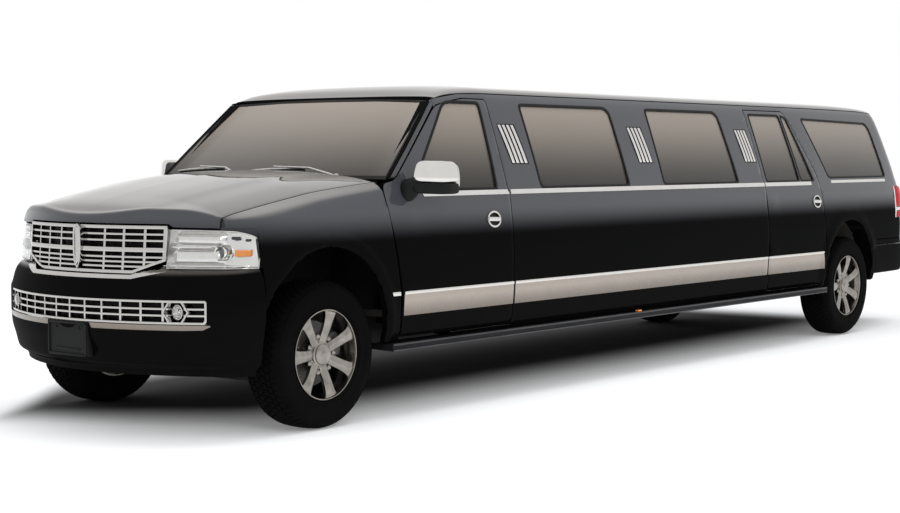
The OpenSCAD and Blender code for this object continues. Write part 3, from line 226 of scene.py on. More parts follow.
rail_z = through([
    (TAIL + 0.1, RAIL_TOP - 0.08), (TAIL + 0.438, RAIL_TOP - 0.028), (TAIL + 0.9, RAIL_TOP - 0.005),
    (REAR_AXLE + 0.8, RAIL_TOP), (SCREEN_TOP.x - 0.5, RAIL_TOP), (SCREEN_TOP.x - 0.25, RAIL_TOP - 0.006),
    (SCREEN_TOP.x - 0.1, RAIL_TOP - 0.019), (SCREEN_TOP.x + 0.03, RAIL_TOP - 0.042)])
CORNER_R = 0.225


def nose_x(y, front=GRILLE_X, side=HALF - 0.01):
    """Front of a bowed nose at a distance from the middle."""
    y = min(max(abs(y), 0.001), side * 0.9995)
    return front - NOSE_BOW * (y ** -NOSE_TURN - side ** -NOSE_TURN) ** (-2 / NOSE_TURN)


def nose_half(x, front, side):
    reach = math.sqrt(max(front - x, 0.0001) / NOSE_BOW)
    return (side ** -NOSE_TURN + reach ** -NOSE_TURN) ** (-1 / NOSE_TURN)


def plan_half(x):
    return nose_half(x, GRILLE_X, body_plan(x)) if x > FRONT_AXLE else body_plan(x)


def corner(s):
    return 0 if s >= CORNER_R else CORNER_R - math.sqrt(CORNER_R ** 2 - (CORNER_R - max(s, 0)) ** 2)


def side_y(x, z):
    """Outer surface of the left side."""
    return plan_half(x) - side_inset(z) - corner(x - tail_x(z))


def pillar_x(z):
    """Line of the windscreen pillar in side view."""
    return mix(SCREEN_BASE.x - SCREEN_BOW * 0.86 ** 2, SCREEN_TOP.x, (z - SCREEN_BASE.z) / (SCREEN_TOP.z - SCREEN_BASE.z))


# Outlines in side view, in pairs of x and z
B_PILLAR = FRONT_AXLE - 1.665
C_PILLAR = REAR_AXLE + 1.445
REAR_DOOR = REAR_AXLE + 0.515
DOOR_FRONT = FRONT_AXLE - 0.485
DOOR_LOW = FRONT_AXLE - 0.602
DOOR_TOP = 1.822
FRONT_DOOR = [
    (B_PILLAR, SILL - 0.007), (DOOR_LOW, SILL - 0.007), (DOOR_LOW + 0.005, 0.7), (DOOR_FRONT - 0.052, 1.01),
    (DOOR_FRONT, 1.24), (DOOR_FRONT - 0.002, 1.322), (pillar_x(1.345) - 0.022, 1.345), (pillar_x(1.745) - 0.028, 1.745),
    (pillar_x(1.776) - 0.042, 1.776), (SCREEN_TOP.x - 0.11, 1.8), (SCREEN_TOP.x - 0.26, DOOR_TOP),
    (B_PILLAR + 0.078, DOOR_TOP), (B_PILLAR + 0.066, 1.8), (B_PILLAR + 0.006, BELT), (B_PILLAR, 1.23)]
BACK_DOOR = [
    (REAR_DOOR - 0.06, SILL + 0.208), (REAR_DOOR - 0.005, SILL - 0.007), (C_PILLAR - 0.03, SILL - 0.007),
    (C_PILLAR, 1.23), (C_PILLAR + 0.006, BELT), (C_PILLAR + 0.108, 1.8), (C_PILLAR + 0.104, DOOR_TOP),
    (C_PILLAR - 0.505, DOOR_TOP), (C_PILLAR - 0.545, 1.805), (REAR_DOOR + 0.028, BELT + 0.04),
    (REAR_DOOR, 1.23), (REAR_DOOR - 0.048, 0.905)]
FRONT_WINDOW = [
    (B_PILLAR + 0.118, BELT), (FRONT_AXLE - 0.8, BELT), (FRONT_AXLE - 0.782, BELT + 0.05), (FRONT_AXLE - 1.15, 1.765),
    (FRONT_AXLE - 1.192, 1.788), (FRONT_AXLE - 1.24, 1.793), (B_PILLAR + 0.152, 1.793)]
WINDOW_ONE = [
    (FRONT_AXLE - 2.018, BELT), (FRONT_AXLE - 1.935, 1.79), (FRONT_AXLE - 2.905, 1.79), (FRONT_AXLE - 2.95, 1.76),
    (FRONT_AXLE - 3.043, BELT)]
WINDOW_TWO = [
    (REAR_AXLE + 2.882, BELT), (REAR_AXLE + 2.958, 1.79), (REAR_AXLE + 2.01, 1.79), (REAR_AXLE + 1.965, 1.76),
    (REAR_AXLE + 1.832, BELT)]
BACK_WINDOW = [(C_PILLAR - 0.052, BELT), (C_PILLAR + 0.04, 1.785), (C_PILLAR - 0.443, 1.785), (C_PILLAR - 0.59, BELT)]
VENT_WINDOW = [(C_PILLAR - 0.622, BELT), (C_PILLAR - 0.478, 1.782), (C_PILLAR - 0.548, 1.774), (C_PILLAR - 0.836, BELT)]
QUARTER_WINDOW = [
    (REAR_AXLE + 0.326, BELT + 0.02), (REAR_AXLE + 0.625, 1.765), (REAR_AXLE - 0.6, 1.745), (REAR_AXLE - 0.66, 1.7),
    (REAR_AXLE - 0.815, BELT + 0.02)]


def offset(outline, distance):
    """Outline moved outwards by a distance, or inwards by a negative one."""
    n = len(outline)
    area = sum(outline[i][0] * outline[(i + 1) % n][1] - outline[(i + 1) % n][0] * outline[i][1] for i in range(n))
    way = -1 if area > 0 else 1
    moved = []
    for i in range(n):
        a, b, c = Vector(outline[i - 1]), Vector(outline[i]), Vector(outline[(i + 1) % n])
        u = (b - a).normalized()
        w = (c - b).normalized()
        m = Vector((-u.y - w.y, u.x + w.x))
        moved.append(tuple(b + m * (way * distance * 2 / m.length_squared)))
    return moved


def rounded(outline, radius, steps=4):
    """Outline with its corners turned into arcs."""
    n = len(outline)
    points = []
    for i in range(n):
        a, b, c = Vector(outline[i - 1]), Vector(outline[i]), Vector(outline[(i + 1) % n])
        reach = min(radius, (a - b).length * 0.45, (c - b).length * 0.45)
        p = b + (a - b).normalized() * reach
        q = b + (c - b).normalized() * reach
        for k in range(steps + 1):
            t = k / steps
            points.append(tuple(p * (1 - t) ** 2 + b * 2 * t * (1 - t) + q * t * t))
    return points


def inside(outline, x, y):
    """True where a point lies in an outline."""
    found = False
    for (x0, y0), (x1, y1) in zip(outline, outline[1:] + outline[:1]):
        if (y0 > y) != (y1 > y) and x < x0 + (y - y0) * (x1 - x0) / (y1 - y0):
            found = not found
    return found


# Mesh tools
def laid_grid(across, along, place):
    """Grid of cells laid out by place(u, v), with both from 0 to 1."""
    bm = bmesh.new()
    bmesh.ops.create_grid(bm, x_segments=across, y_segments=along, size=0.5)
    for v in bm.verts:
        v.co = place(v.co.x + 0.5, v.co.y + 0.5)
    bm.faces.ensure_lookup_table()
    bm.normal_update()
    return bm


def face_out(bm, way):
    """Turns a sheet's faces so that they look along a direction."""
    if sum((f.normal.dot(way) * f.calc_area() for f in bm.faces), 0.0) < 0:
        bmesh.ops.reverse_faces(bm, faces=bm.faces)


def cut(bm, outline, axis, keep):
    """Cuts a sheet along an outline seen along an axis, and keeps its inside or its outside."""
    a, b = ((1, 2), (0, 2), (0, 1))[axis]
    for p, q in zip(outline, outline[1:] + outline[:1]):
        low = (min(p[0], q[0]) - 0.001, min(p[1], q[1]) - 0.001)
        high = (max(p[0], q[0]) + 0.001, max(p[1], q[1]) + 0.001)
        near = []
        for f in bm.faces:
            us = [v.co[a] for v in f.verts]
            if min(us) > high[0] or max(us) < low[0]:
                continue
            ws = [v.co[b] for v in f.verts]
            if min(ws) <= high[1] and max(ws) >= low[1]:
                near.append(f)
        if not near:
            continue
        edges = {e for f in near for e in f.edges}
        verts = {v for f in near for v in f.verts}
        place = Vector((0, 0, 0))
        place[a], place[b] = p
        normal = Vector((0, 0, 0))
        normal[a], normal[b] = q[1] - p[1], p[0] - q[0]
        bmesh.ops.bisect_plane(bm, geom=near + list(edges) + list(verts), dist=0.00002,
                               plane_co=place, plane_no=normal.normalized())
    drop = []
    for f in bm.faces:
        c = f.calc_center_median()
        if inside(outline, c[a], c[b]) != keep:
            drop.append(f)
    bmesh.ops.delete(bm, geom=drop, context="FACES")


def thicken(bm, depth):
    """Gives a sheet a thickness behind its face."""
    bmesh.ops.remove_doubles(bm, verts=bm.verts, dist=0.00003)
    bmesh.ops.solidify(bm, geom=bm.faces[:], thickness=depth)


def round_edges(bm, width, segments=2, angle=50):
    """Rounds the edges that turn by more than an angle, in degrees."""
    edges = [e for e in bm.edges if e.is_manifold and e.calc_face_angle(0) > math.radians(angle)]
    bmesh.ops.bevel(bm, geom=edges, offset=width, offset_type="OFFSET", segments=segments, profile=0.5,
                    affect="EDGES", clamp_overlap=True, material=-1)


def mirrored(bm):
    """Copy of a mesh on the vehicle's other side."""
    other = bm.copy()
    bmesh.ops.scale(other, vec=(1, -1, 1), verts=other.verts)
    bmesh.ops.reverse_faces(other, faces=other.faces)
    return other


def box(bm, low, high, cuts=0, axis=1):
    """Adds a block between two corners, cut into even lengths along an axis."""
    low, high = Vector(low), Vector(high)
    size = high - low
    made = bmesh.ops.create_cube(bm, size=1, matrix=Matrix.Translation((low + high) / 2) @ Matrix.Diagonal((*size, 1)))
    if cuts:
        edges = {e for v in made["verts"] for e in v.link_edges
                 if abs(e.verts[0].co[axis] - e.verts[1].co[axis]) > size[axis] * 0.9}
        bmesh.ops.subdivide_edges(bm, edges=list(edges), cuts=cuts, use_grid_fill=True)


def lathe(profile, steps, place, axis=(0, 1, 0)):
    """Solid of revolution about an axis through a place. The profile holds pairs of radius and distance along it."""
    bm = bmesh.new()
    axis = Vector(axis)
    out = Vector((0, 0, 1)) if abs(axis.z) < 0.9 else Vector((1, 0, 0))
    verts = [bm.verts.new(Vector(place) + out * r + axis * d) for r, d in profile]
    edges = [bm.edges.new((verts[i], verts[(i + 1) % len(verts)])) for i in range(len(verts))]
    bmesh.ops.spin(bm, geom=verts + edges, cent=place, axis=axis, angle=math.tau, steps=steps, use_merge=True)
    bmesh.ops.remove_doubles(bm, verts=bm.verts, dist=0.00002)
    bmesh.ops.recalc_face_normals(bm, faces=bm.faces)
    return bm


def join(*parts):
    """One mesh from several."""
    whole = bmesh.new()
    for part in parts:
        mesh = bpy.data.meshes.new("part")
        part.to_mesh(mesh)
        part.free()
        whole.from_mesh(mesh)
        bpy.data.meshes.remove(mesh)
    return whole


def piece(bm, name, body, finish, replaces=(), sharp=32):
    """Turns a mesh into a named piece that rides on a body."""
    limit = math.radians(sharp)
    for f in bm.faces:
        f.smooth = True
    for e in bm.edges:
        e.smooth = not (e.is_manifold and e.calc_face_angle(0) > limit)
    mesh = bpy.data.meshes.new(name)
    bm.to_mesh(mesh)
    bm.free()
    mesh.materials.append(finish)
    obj = bpy.data.objects.new(name, mesh)
    bpy.context.scene.collection.objects.link(obj)
    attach(obj, body)
    if replaces:
        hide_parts(*replaces)
    return obj


def both(bm, name, body, finish, replaces=(), sharp=32):
    """Makes a piece on the left and its mirror image on the right. {} in a name stands for the side."""
    other = mirrored(bm)
    for side, mesh in (("left", bm), ("right", other)):
        piece(mesh, name.format(side), body.format(side), finish,
              [n.format(side) for n in replaces], sharp)


# Shader groups, each built once and placed in many finishes
def group(name, inputs, outputs):
    """New shader node group with its sockets, and its input and output nodes."""
    tree = bpy.data.node_groups.new(name, "ShaderNodeTree")
    for label, kind, default in inputs:
        socket = tree.interface.new_socket(label, in_out="INPUT", socket_type=kind)
        socket.default_value = default
    for label, kind in outputs:
        tree.interface.new_socket(label, in_out="OUTPUT", socket_type=kind)
    return tree, tree.nodes.new("NodeGroupInput"), tree.nodes.new("NodeGroupOutput")


def mottle_group():
    """Mask of soft cloudy patches on Object coordinates, and a finer one for height."""
    tree, given, out = group(
        "limo_mottle", [("Scale", "NodeSocketFloat", 4.0), ("Sharpness", "NodeSocketFloat", 0.5)],
        [("Mask", "NodeSocketFloat"), ("Height", "NodeSocketFloat")])
    place = tree.nodes.new("ShaderNodeTexCoord")
    cloud = tree.nodes.new("ShaderNodeTexNoise")
    cloud.inputs["Detail"].default_value = 4
    fine = tree.nodes.new("ShaderNodeTexNoise")
    fine.inputs["Detail"].default_value = 2
    finer = tree.nodes.new("ShaderNodeMath")
    finer.operation = "MULTIPLY"
    finer.inputs[1].default_value = 6
    spread = tree.nodes.new("ShaderNodeMapRange")
    spread.inputs["From Min"].default_value = 0.3
    spread.inputs["From Max"].default_value = 0.7
    link = tree.links.new
    link(place.outputs["Object"], cloud.inputs["Vector"])
    link(place.outputs["Object"], fine.inputs["Vector"])
    link(given.outputs["Scale"], cloud.inputs["Scale"])
    link(given.outputs["Scale"], finer.inputs[0])
    link(finer.outputs[0], fine.inputs["Scale"])
    link(given.outputs["Sharpness"], cloud.inputs["Roughness"])
    link(cloud.outputs["Fac"], spread.inputs["Value"])
    link(spread.outputs["Result"], out.inputs["Mask"])
    link(fine.outputs["Fac"], out.inputs["Height"])
    return tree


def grain_group():
    """Pebbled grain of leather and moulded plastic."""
    tree, given, out = group(
        "limo_grain", [("Scale", "NodeSocketFloat", 400.0)],
        [("Mask", "NodeSocketFloat"), ("Height", "NodeSocketFloat")])
    place = tree.nodes.new("ShaderNodeTexCoord")
    cells = tree.nodes.new("ShaderNodeTexVoronoi")
    cells.feature = "SMOOTH_F1"
    power = tree.nodes.new("ShaderNodeMath")
    power.operation = "POWER"
    power.inputs[1].default_value = 1.6
    link = tree.links.new
    link(place.outputs["Object"], cells.inputs["Vector"])
    link(given.outputs["Scale"], cells.inputs["Scale"])
    link(cells.outputs["Distance"], power.inputs[0])
    link(power.outputs[0], out.inputs["Height"])
    link(cells.outputs["Distance"], out.inputs["Mask"])
    return tree


def rise_group():
    """Share of the way up between two heights."""
    tree, given, out = group(
        "limo_rise", [("Low", "NodeSocketFloat", 1.2), ("High", "NodeSocketFloat", 1.8)],
        [("Share", "NodeSocketFloat")])
    place = tree.nodes.new("ShaderNodeTexCoord")
    split = tree.nodes.new("ShaderNodeSeparateXYZ")
    spread = tree.nodes.new("ShaderNodeMapRange")
    spread.interpolation_type = "SMOOTHSTEP"
    link = tree.links.new
    link(place.outputs["Object"], split.inputs[0])
    link(split.outputs["Z"], spread.inputs["Value"])
    link(given.outputs["Low"], spread.inputs["From Min"])
    link(given.outputs["High"], spread.inputs["From Max"])
    link(spread.outputs["Result"], out.inputs["Share"])
    return tree


def dust_group():
    """Road dust that lies thicker near the ground."""
    tree, given, out = group(
        "limo_dust", [("Reach", "NodeSocketFloat", 0.7), ("Amount", "NodeSocketFloat", 0.4)],
        [("Mask", "NodeSocketFloat")])
    place = tree.nodes.new("ShaderNodeTexCoord")
    split = tree.nodes.new("ShaderNodeSeparateXYZ")
    fall = tree.nodes.new("ShaderNodeMapRange")
    fall.inputs["To Min"].default_value = 1
    fall.inputs["To Max"].default_value = 0
    noise = tree.nodes.new("ShaderNodeTexNoise")
    noise.inputs["Scale"].default_value = 9
    noise.inputs["Detail"].default_value = 5
    by = tree.nodes.new("ShaderNodeMath")
    by.operation = "MULTIPLY"
    much = tree.nodes.new("ShaderNodeMath")
    much.operation = "MULTIPLY"
    link = tree.links.new
    link(place.outputs["Object"], split.inputs[0])
    link(place.outputs["Object"], noise.inputs["Vector"])
    link(split.outputs["Z"], fall.inputs["Value"])
    link(given.outputs["Reach"], fall.inputs["From Max"])
    link(fall.outputs["Result"], by.inputs[0])
    link(noise.outputs["Fac"], by.inputs[1])
    link(by.outputs[0], much.inputs[0])
    link(given.outputs["Amount"], much.inputs[1])
    link(much.outputs[0], out.inputs["Mask"])
    return tree


def lift_group():
    """Share by which a face looks up."""
    tree, given, out = group(
        "limo_lift", [("Low", "NodeSocketFloat", 0.35), ("High", "NodeSocketFloat", 0.97)],
        [("Share", "NodeSocketFloat")])
    place = tree.nodes.new("ShaderNodeNewGeometry")
    split = tree.nodes.new("ShaderNodeSeparateXYZ")
    spread = tree.nodes.new("ShaderNodeMapRange")
    spread.interpolation_type = "SMOOTHSTEP"
    link = tree.links.new
    link(place.outputs["Normal"], split.inputs[0])
    link(split.outputs["Z"], spread.inputs["Value"])
    link(given.outputs["Low"], spread.inputs["From Min"])
    link(given.outputs["High"], spread.inputs["From Max"])
    link(spread.outputs["Result"], out.inputs["Share"])
    return tree


class Finish:
    """A material under construction, with its Principled shader."""

    def __init__(self, name, colour, rough, **sockets):
        self.material = bpy.data.materials.new(name)
        self.material.use_nodes = True
        self.tree = self.material.node_tree
        self.shader = self.tree.nodes["Principled BSDF"]
        self.shader.inputs["Base Color"].default_value = (*colour, 1)
        self.shader.inputs["Roughness"].default_value = rough
        for label, value in sockets.items():
            self.shader.inputs[label.replace("_", " ")].default_value = value

    def place(self, name, **values):
        """Places a node group with its own values."""
        found = self.tree.nodes.new("ShaderNodeGroup")
        found.node_tree = bpy.data.node_groups[name]
        for label, value in values.items():
            found.inputs[label].default_value = value
        return found

    def tone(self, mask, low, high):
        """Base colour between two colours by a mask. The first may be the result of another tone."""
        blend = self.tree.nodes.new("ShaderNodeMix")
        blend.data_type = "RGBA"
        if isinstance(low, bpy.types.NodeSocket):
            self.tree.links.new(low, blend.inputs[6])
        else:
            blend.inputs[6].default_value = (*low, 1)
        blend.inputs[7].default_value = (*high, 1)
        self.tree.links.new(mask, blend.inputs[0])
        self.tree.links.new(blend.outputs[2], self.shader.inputs["Base Color"])
        return blend.outputs[2]

    def vary(self, label, mask, low, high):
        """A socket of the shader between two values by a mask."""
        spread = self.tree.nodes.new("ShaderNodeMapRange")
        spread.inputs["To Min"].default_value = low
        spread.inputs["To Max"].default_value = high
        self.tree.links.new(mask, spread.inputs["Value"])
        self.tree.links.new(spread.outputs["Result"], self.shader.inputs[label])

    def polish(self, mask, low, high):
        """Roughness between two values by a mask."""
        self.vary("Roughness", mask, low, high)

    def relief(self, height, strength, depth):
        """Bump from a height."""
        bump = self.tree.nodes.new("ShaderNodeBump")
        bump.inputs["Strength"].default_value = strength
        bump.inputs["Distance"].default_value = depth
        self.tree.links.new(height, bump.inputs["Height"])
        self.tree.links.new(bump.outputs["Normal"], self.shader.inputs["Normal"])


def self_max(f, first, second):
    """The larger of two masks."""
    most = f.tree.nodes.new("ShaderNodeMath")
    most.operation = "MAXIMUM"
    f.tree.links.new(first, most.inputs[0])
    f.tree.links.new(second, most.inputs[1])
    return most.outputs[0]


def gloss_paint(colours):
    """Deep black lacquer with faint haze, dusty at the sills."""
    f = Finish("gloss_paint", colours.paint, 0.3, Coat_Weight=0.5, Coat_Roughness=0.02, Specular_IOR_Level=0.0)
    rise = f.place("limo_rise", Low=1.0, High=1.17)
    lift = f.place("limo_lift", Low=0.6, High=0.99)
    haze = f.place("limo_mottle", Scale=3.0)
    dust = f.place("limo_dust", Reach=0.75, Amount=0.03)
    # Painted reflection of the sky: the black turns paler above the belt line and paler still on faces that look up.
    deep = f.tone(rise.outputs["Share"], colours.paint, colours.painted_reflection_high)
    pale = f.tone(lift.outputs["Share"], deep, colours.painted_reflection_up)
    f.tone(dust.outputs["Mask"], pale, (0.16, 0.15, 0.14))
    most = self_max(f, rise.outputs["Share"], lift.outputs["Share"])
    f.vary("Coat Weight", most, 0.06, 1.0)
    f.vary("Coat IOR", lift.outputs["Share"], 1.45, 2.1)
    f.polish(haze.outputs["Mask"], 0.22, 0.38)
    return f.material


def bright_metal(colours, name="chrome_plate", rough=0.05, share=1.0):
    """Chrome plate with faint smears, in a share of the full brightness."""
    bright = [c * share for c in colours.chrome]
    f = Finish(name, bright, rough, Metallic=1.0)
    smear = f.place("limo_mottle", Scale=14.0)
    f.polish(smear.outputs["Mask"], rough, rough + 0.07)
    f.tone(smear.outputs["Mask"], [c * 0.94 for c in bright], bright)
    return f.material


def brushed_steel(colours):
    """Polished stainless strip, a little warmer and softer than chrome."""
    f = Finish("polished_strip", colours.chrome, 0.22, Metallic=1.0)
    smear = f.place("limo_mottle", Scale=5.0)
    rise = f.place("limo_rise", Low=0.565, High=0.7)
    f.polish(smear.outputs["Mask"], 0.2, 0.34)
    # Painted reflection: the strip is darker towards its lower edge and paler towards its top.
    f.tone(rise.outputs["Share"], (0.2, 0.175, 0.155), (0.44, 0.39, 0.345))
    return f.material


def board_line():
    """Dull bright line along the running boards."""
    f = Finish("board_line", (0.06, 0.061, 0.065), 0.35, Metallic=1.0)
    smear = f.place("limo_mottle", Scale=6.0)
    f.polish(smear.outputs["Mask"], 0.3, 0.45)
    f.tone(smear.outputs["Mask"], (0.045, 0.046, 0.05), (0.09, 0.09, 0.094))
    return f.material


def wheel_metal():
    """Polished alloy of the wheels, softer than chrome."""
    f = Finish("wheel_metal", (0.25, 0.232, 0.212), 0.2, Metallic=1.0)
    smear = f.place("limo_mottle", Scale=22.0)
    f.polish(smear.outputs["Mask"], 0.14, 0.26)
    f.tone(smear.outputs["Mask"], (0.21, 0.194, 0.178), (0.32, 0.298, 0.272))
    return f.material


def satin_arm():
    """Satin grey metal of the wiper arms."""
    f = Finish("satin_arm", (0.5, 0.49, 0.47), 0.3, Metallic=0.7)
    smear = f.place("limo_mottle", Scale=30.0)
    f.polish(smear.outputs["Mask"], 0.34, 0.5)
    f.tone(smear.outputs["Mask"], (0.46, 0.45, 0.43), (0.6, 0.585, 0.56))
    return f.material


def dark_glass(colours, name="dark_glass"):
    """Privacy glass with a painted reflection of the sky: paler towards the roof where it leans back."""
    f = Finish(name, colours.glass_low, 0.04, Transmission_Weight=0.0, Specular_IOR_Level=0.3)
    rise = f.place("limo_rise", Low=BELT - 0.02, High=1.84)
    f.tone(rise.outputs["Share"], colours.glass_low, colours.glass_painted_reflection)
    haze = f.place("limo_mottle", Scale=2.0)
    f.polish(haze.outputs["Mask"], 0.03, 0.1)
    return f.material


def clear_lens(name="clear_lens"):
    """Clear lamp cover."""
    f = Finish(name, (0.98, 0.99, 1.0), 0.0, Transmission_Weight=1.0, IOR=1.35)
    haze = f.place("limo_mottle", Scale=9.0)
    f.polish(haze.outputs["Mask"], 0.0, 0.03)
    return f.material


def coloured_lens(name, low, high, coat=0.6):
    """Moulded coloured lens."""
    f = Finish(name, low, 0.3, Coat_Weight=coat, Coat_Roughness=0.03, Specular_IOR_Level=0.1)
    ribs = f.place("limo_mottle", Scale=30.0)
    f.tone(ribs.outputs["Mask"], low, high)
    return f.material


def moulded_plastic(name, colour, scale=900.0):
    """Grained black plastic."""
    f = Finish(name, colour, 0.5, Specular_IOR_Level=0.12)
    grain = f.place("limo_grain", Scale=scale)
    f.relief(grain.outputs["Height"], 0.25, 0.0004)
    worn = f.place("limo_mottle", Scale=6.0)
    f.tone(worn.outputs["Mask"], colour, [c * 1.4 + 0.001 for c in colour])
    f.polish(worn.outputs["Mask"], 0.42, 0.6)
    return f.material


def road_rubber(name="road_rubber"):
    """Tyre rubber, greyer where it is dusty."""
    f = Finish(name, (0.002, 0.002, 0.002), 0.8, Specular_IOR_Level=0.03)
    dust = f.place("limo_dust", Reach=0.9, Amount=0.3)
    f.tone(dust.outputs["Mask"], (0.0016, 0.0016, 0.0018), (0.016, 0.0155, 0.0145))
    grain = f.place("limo_mottle", Scale=120.0)
    f.relief(grain.outputs["Height"], 0.2, 0.0006)
    return f.material


def hide(colours):
    """Grained cabin leather."""
    f = Finish("cabin_leather", colours.hide, 0.42, Specular_IOR_Level=0.4, Sheen_Weight=0.1)
    grain = f.place("limo_grain", Scale=320.0)
    f.relief(grain.outputs["Height"], 0.35, 0.0006)
    worn = f.place("limo_mottle", Scale=5.0)
    f.tone(worn.outputs["Mask"], colours.hide, [c * 1.6 for c in colours.hide])
    return f.material


def chassis_steel():
    """Painted frame steel with road dust."""
    f = Finish("chassis_steel", (0.006, 0.006, 0.006), 0.6, Specular_IOR_Level=0.15)
    dust = f.place("limo_dust", Reach=0.9, Amount=0.5)
    f.tone(dust.outputs["Mask"], (0.005, 0.005, 0.0055), (0.05, 0.042, 0.034))
    rough = f.place("limo_mottle", Scale=60.0)
    f.relief(rough.outputs["Height"], 0.3, 0.001)
    f.polish(rough.outputs["Mask"], 0.45, 0.75)
    return f.material


def rough_iron():
    """Sand-cast iron and dull aluminium."""
    f = Finish("rough_iron", (0.16, 0.155, 0.15), 0.6, Metallic=0.6)
    cast = f.place("limo_mottle", Scale=90.0)
    f.relief(cast.outputs["Height"], 0.6, 0.0015)
    f.tone(cast.outputs["Mask"], (0.09, 0.085, 0.08), (0.2, 0.195, 0.19))
    return f.material


def body_solid(colours):
    """Finish of the body structure: lacquer with faint cloudy patches."""
    f = Finish("body_solid", colours.paint, 0.4, Coat_Weight=0.06, Coat_Roughness=0.05, Specular_IOR_Level=0.0)
    haze = f.place("limo_mottle", Scale=8.0)
    f.tone(haze.outputs["Mask"], colours.paint, [c * 1.5 for c in colours.paint])
    f.polish(haze.outputs["Mask"], 0.35, 0.5)
    return f.material


FINISHES = {}


def make_finishes():
    """Builds the shader groups and then every finish."""
    for build in (mottle_group, grain_group, rise_group, lift_group, dust_group):
        build()
    colours = bpy.context.scene.limo_finish
    FINISHES.update({
        "paint": gloss_paint(colours),
        "structure": body_solid(colours),
        "chrome": bright_metal(colours),
        "reflector": bright_metal(colours, "lamp_reflector", 0.16),
        # A darker copy of the chrome for both grilles: painted shade for their duller reflection.
        "grille": bright_metal(colours, "grille_plate", 0.08, 0.76),
        "strip": brushed_steel(colours),
        "line": board_line(),
        "wheel": wheel_metal(),
        "arm": satin_arm(),
        "board": moulded_plastic("board_plastic", (0.006, 0.006, 0.007), 600.0),
        "glass": dark_glass(colours),
        "lens": clear_lens(),
        "red": coloured_lens("red_lens", (0.36, 0.006, 0.012), (0.5, 0.012, 0.022), 0.12),
        "amber": coloured_lens("amber_lens", (0.85, 0.22, 0.02), (0.95, 0.33, 0.04)),
        "pale": coloured_lens("pale_lens", (0.6, 0.58, 0.55), (0.75, 0.72, 0.7)),
        "plastic": moulded_plastic("moulded_plastic", (0.006, 0.0065, 0.006)),
        # Near-black finish: partly the real dark mesh behind the grilles, partly painted shade for the openings behind
        # the grilles, in the vents and under the windscreen.
        "void": moulded_plastic("dark_mesh_and_shade", (0.002, 0.002, 0.002), 700.0),
        "projector": coloured_lens("projector_lens", (0.10, 0.11, 0.12), (0.16, 0.17, 0.18)),
        "seal": moulded_plastic("rubber_seal", (0.006, 0.006, 0.006), 500.0),
        "trim": moulded_plastic("cabin_trim", (0.05, 0.047, 0.043), 500.0),
        "rubber": road_rubber(),
        "leather": hide(colours),
        "steel": chassis_steel(),
        "iron": rough_iron(),
    })


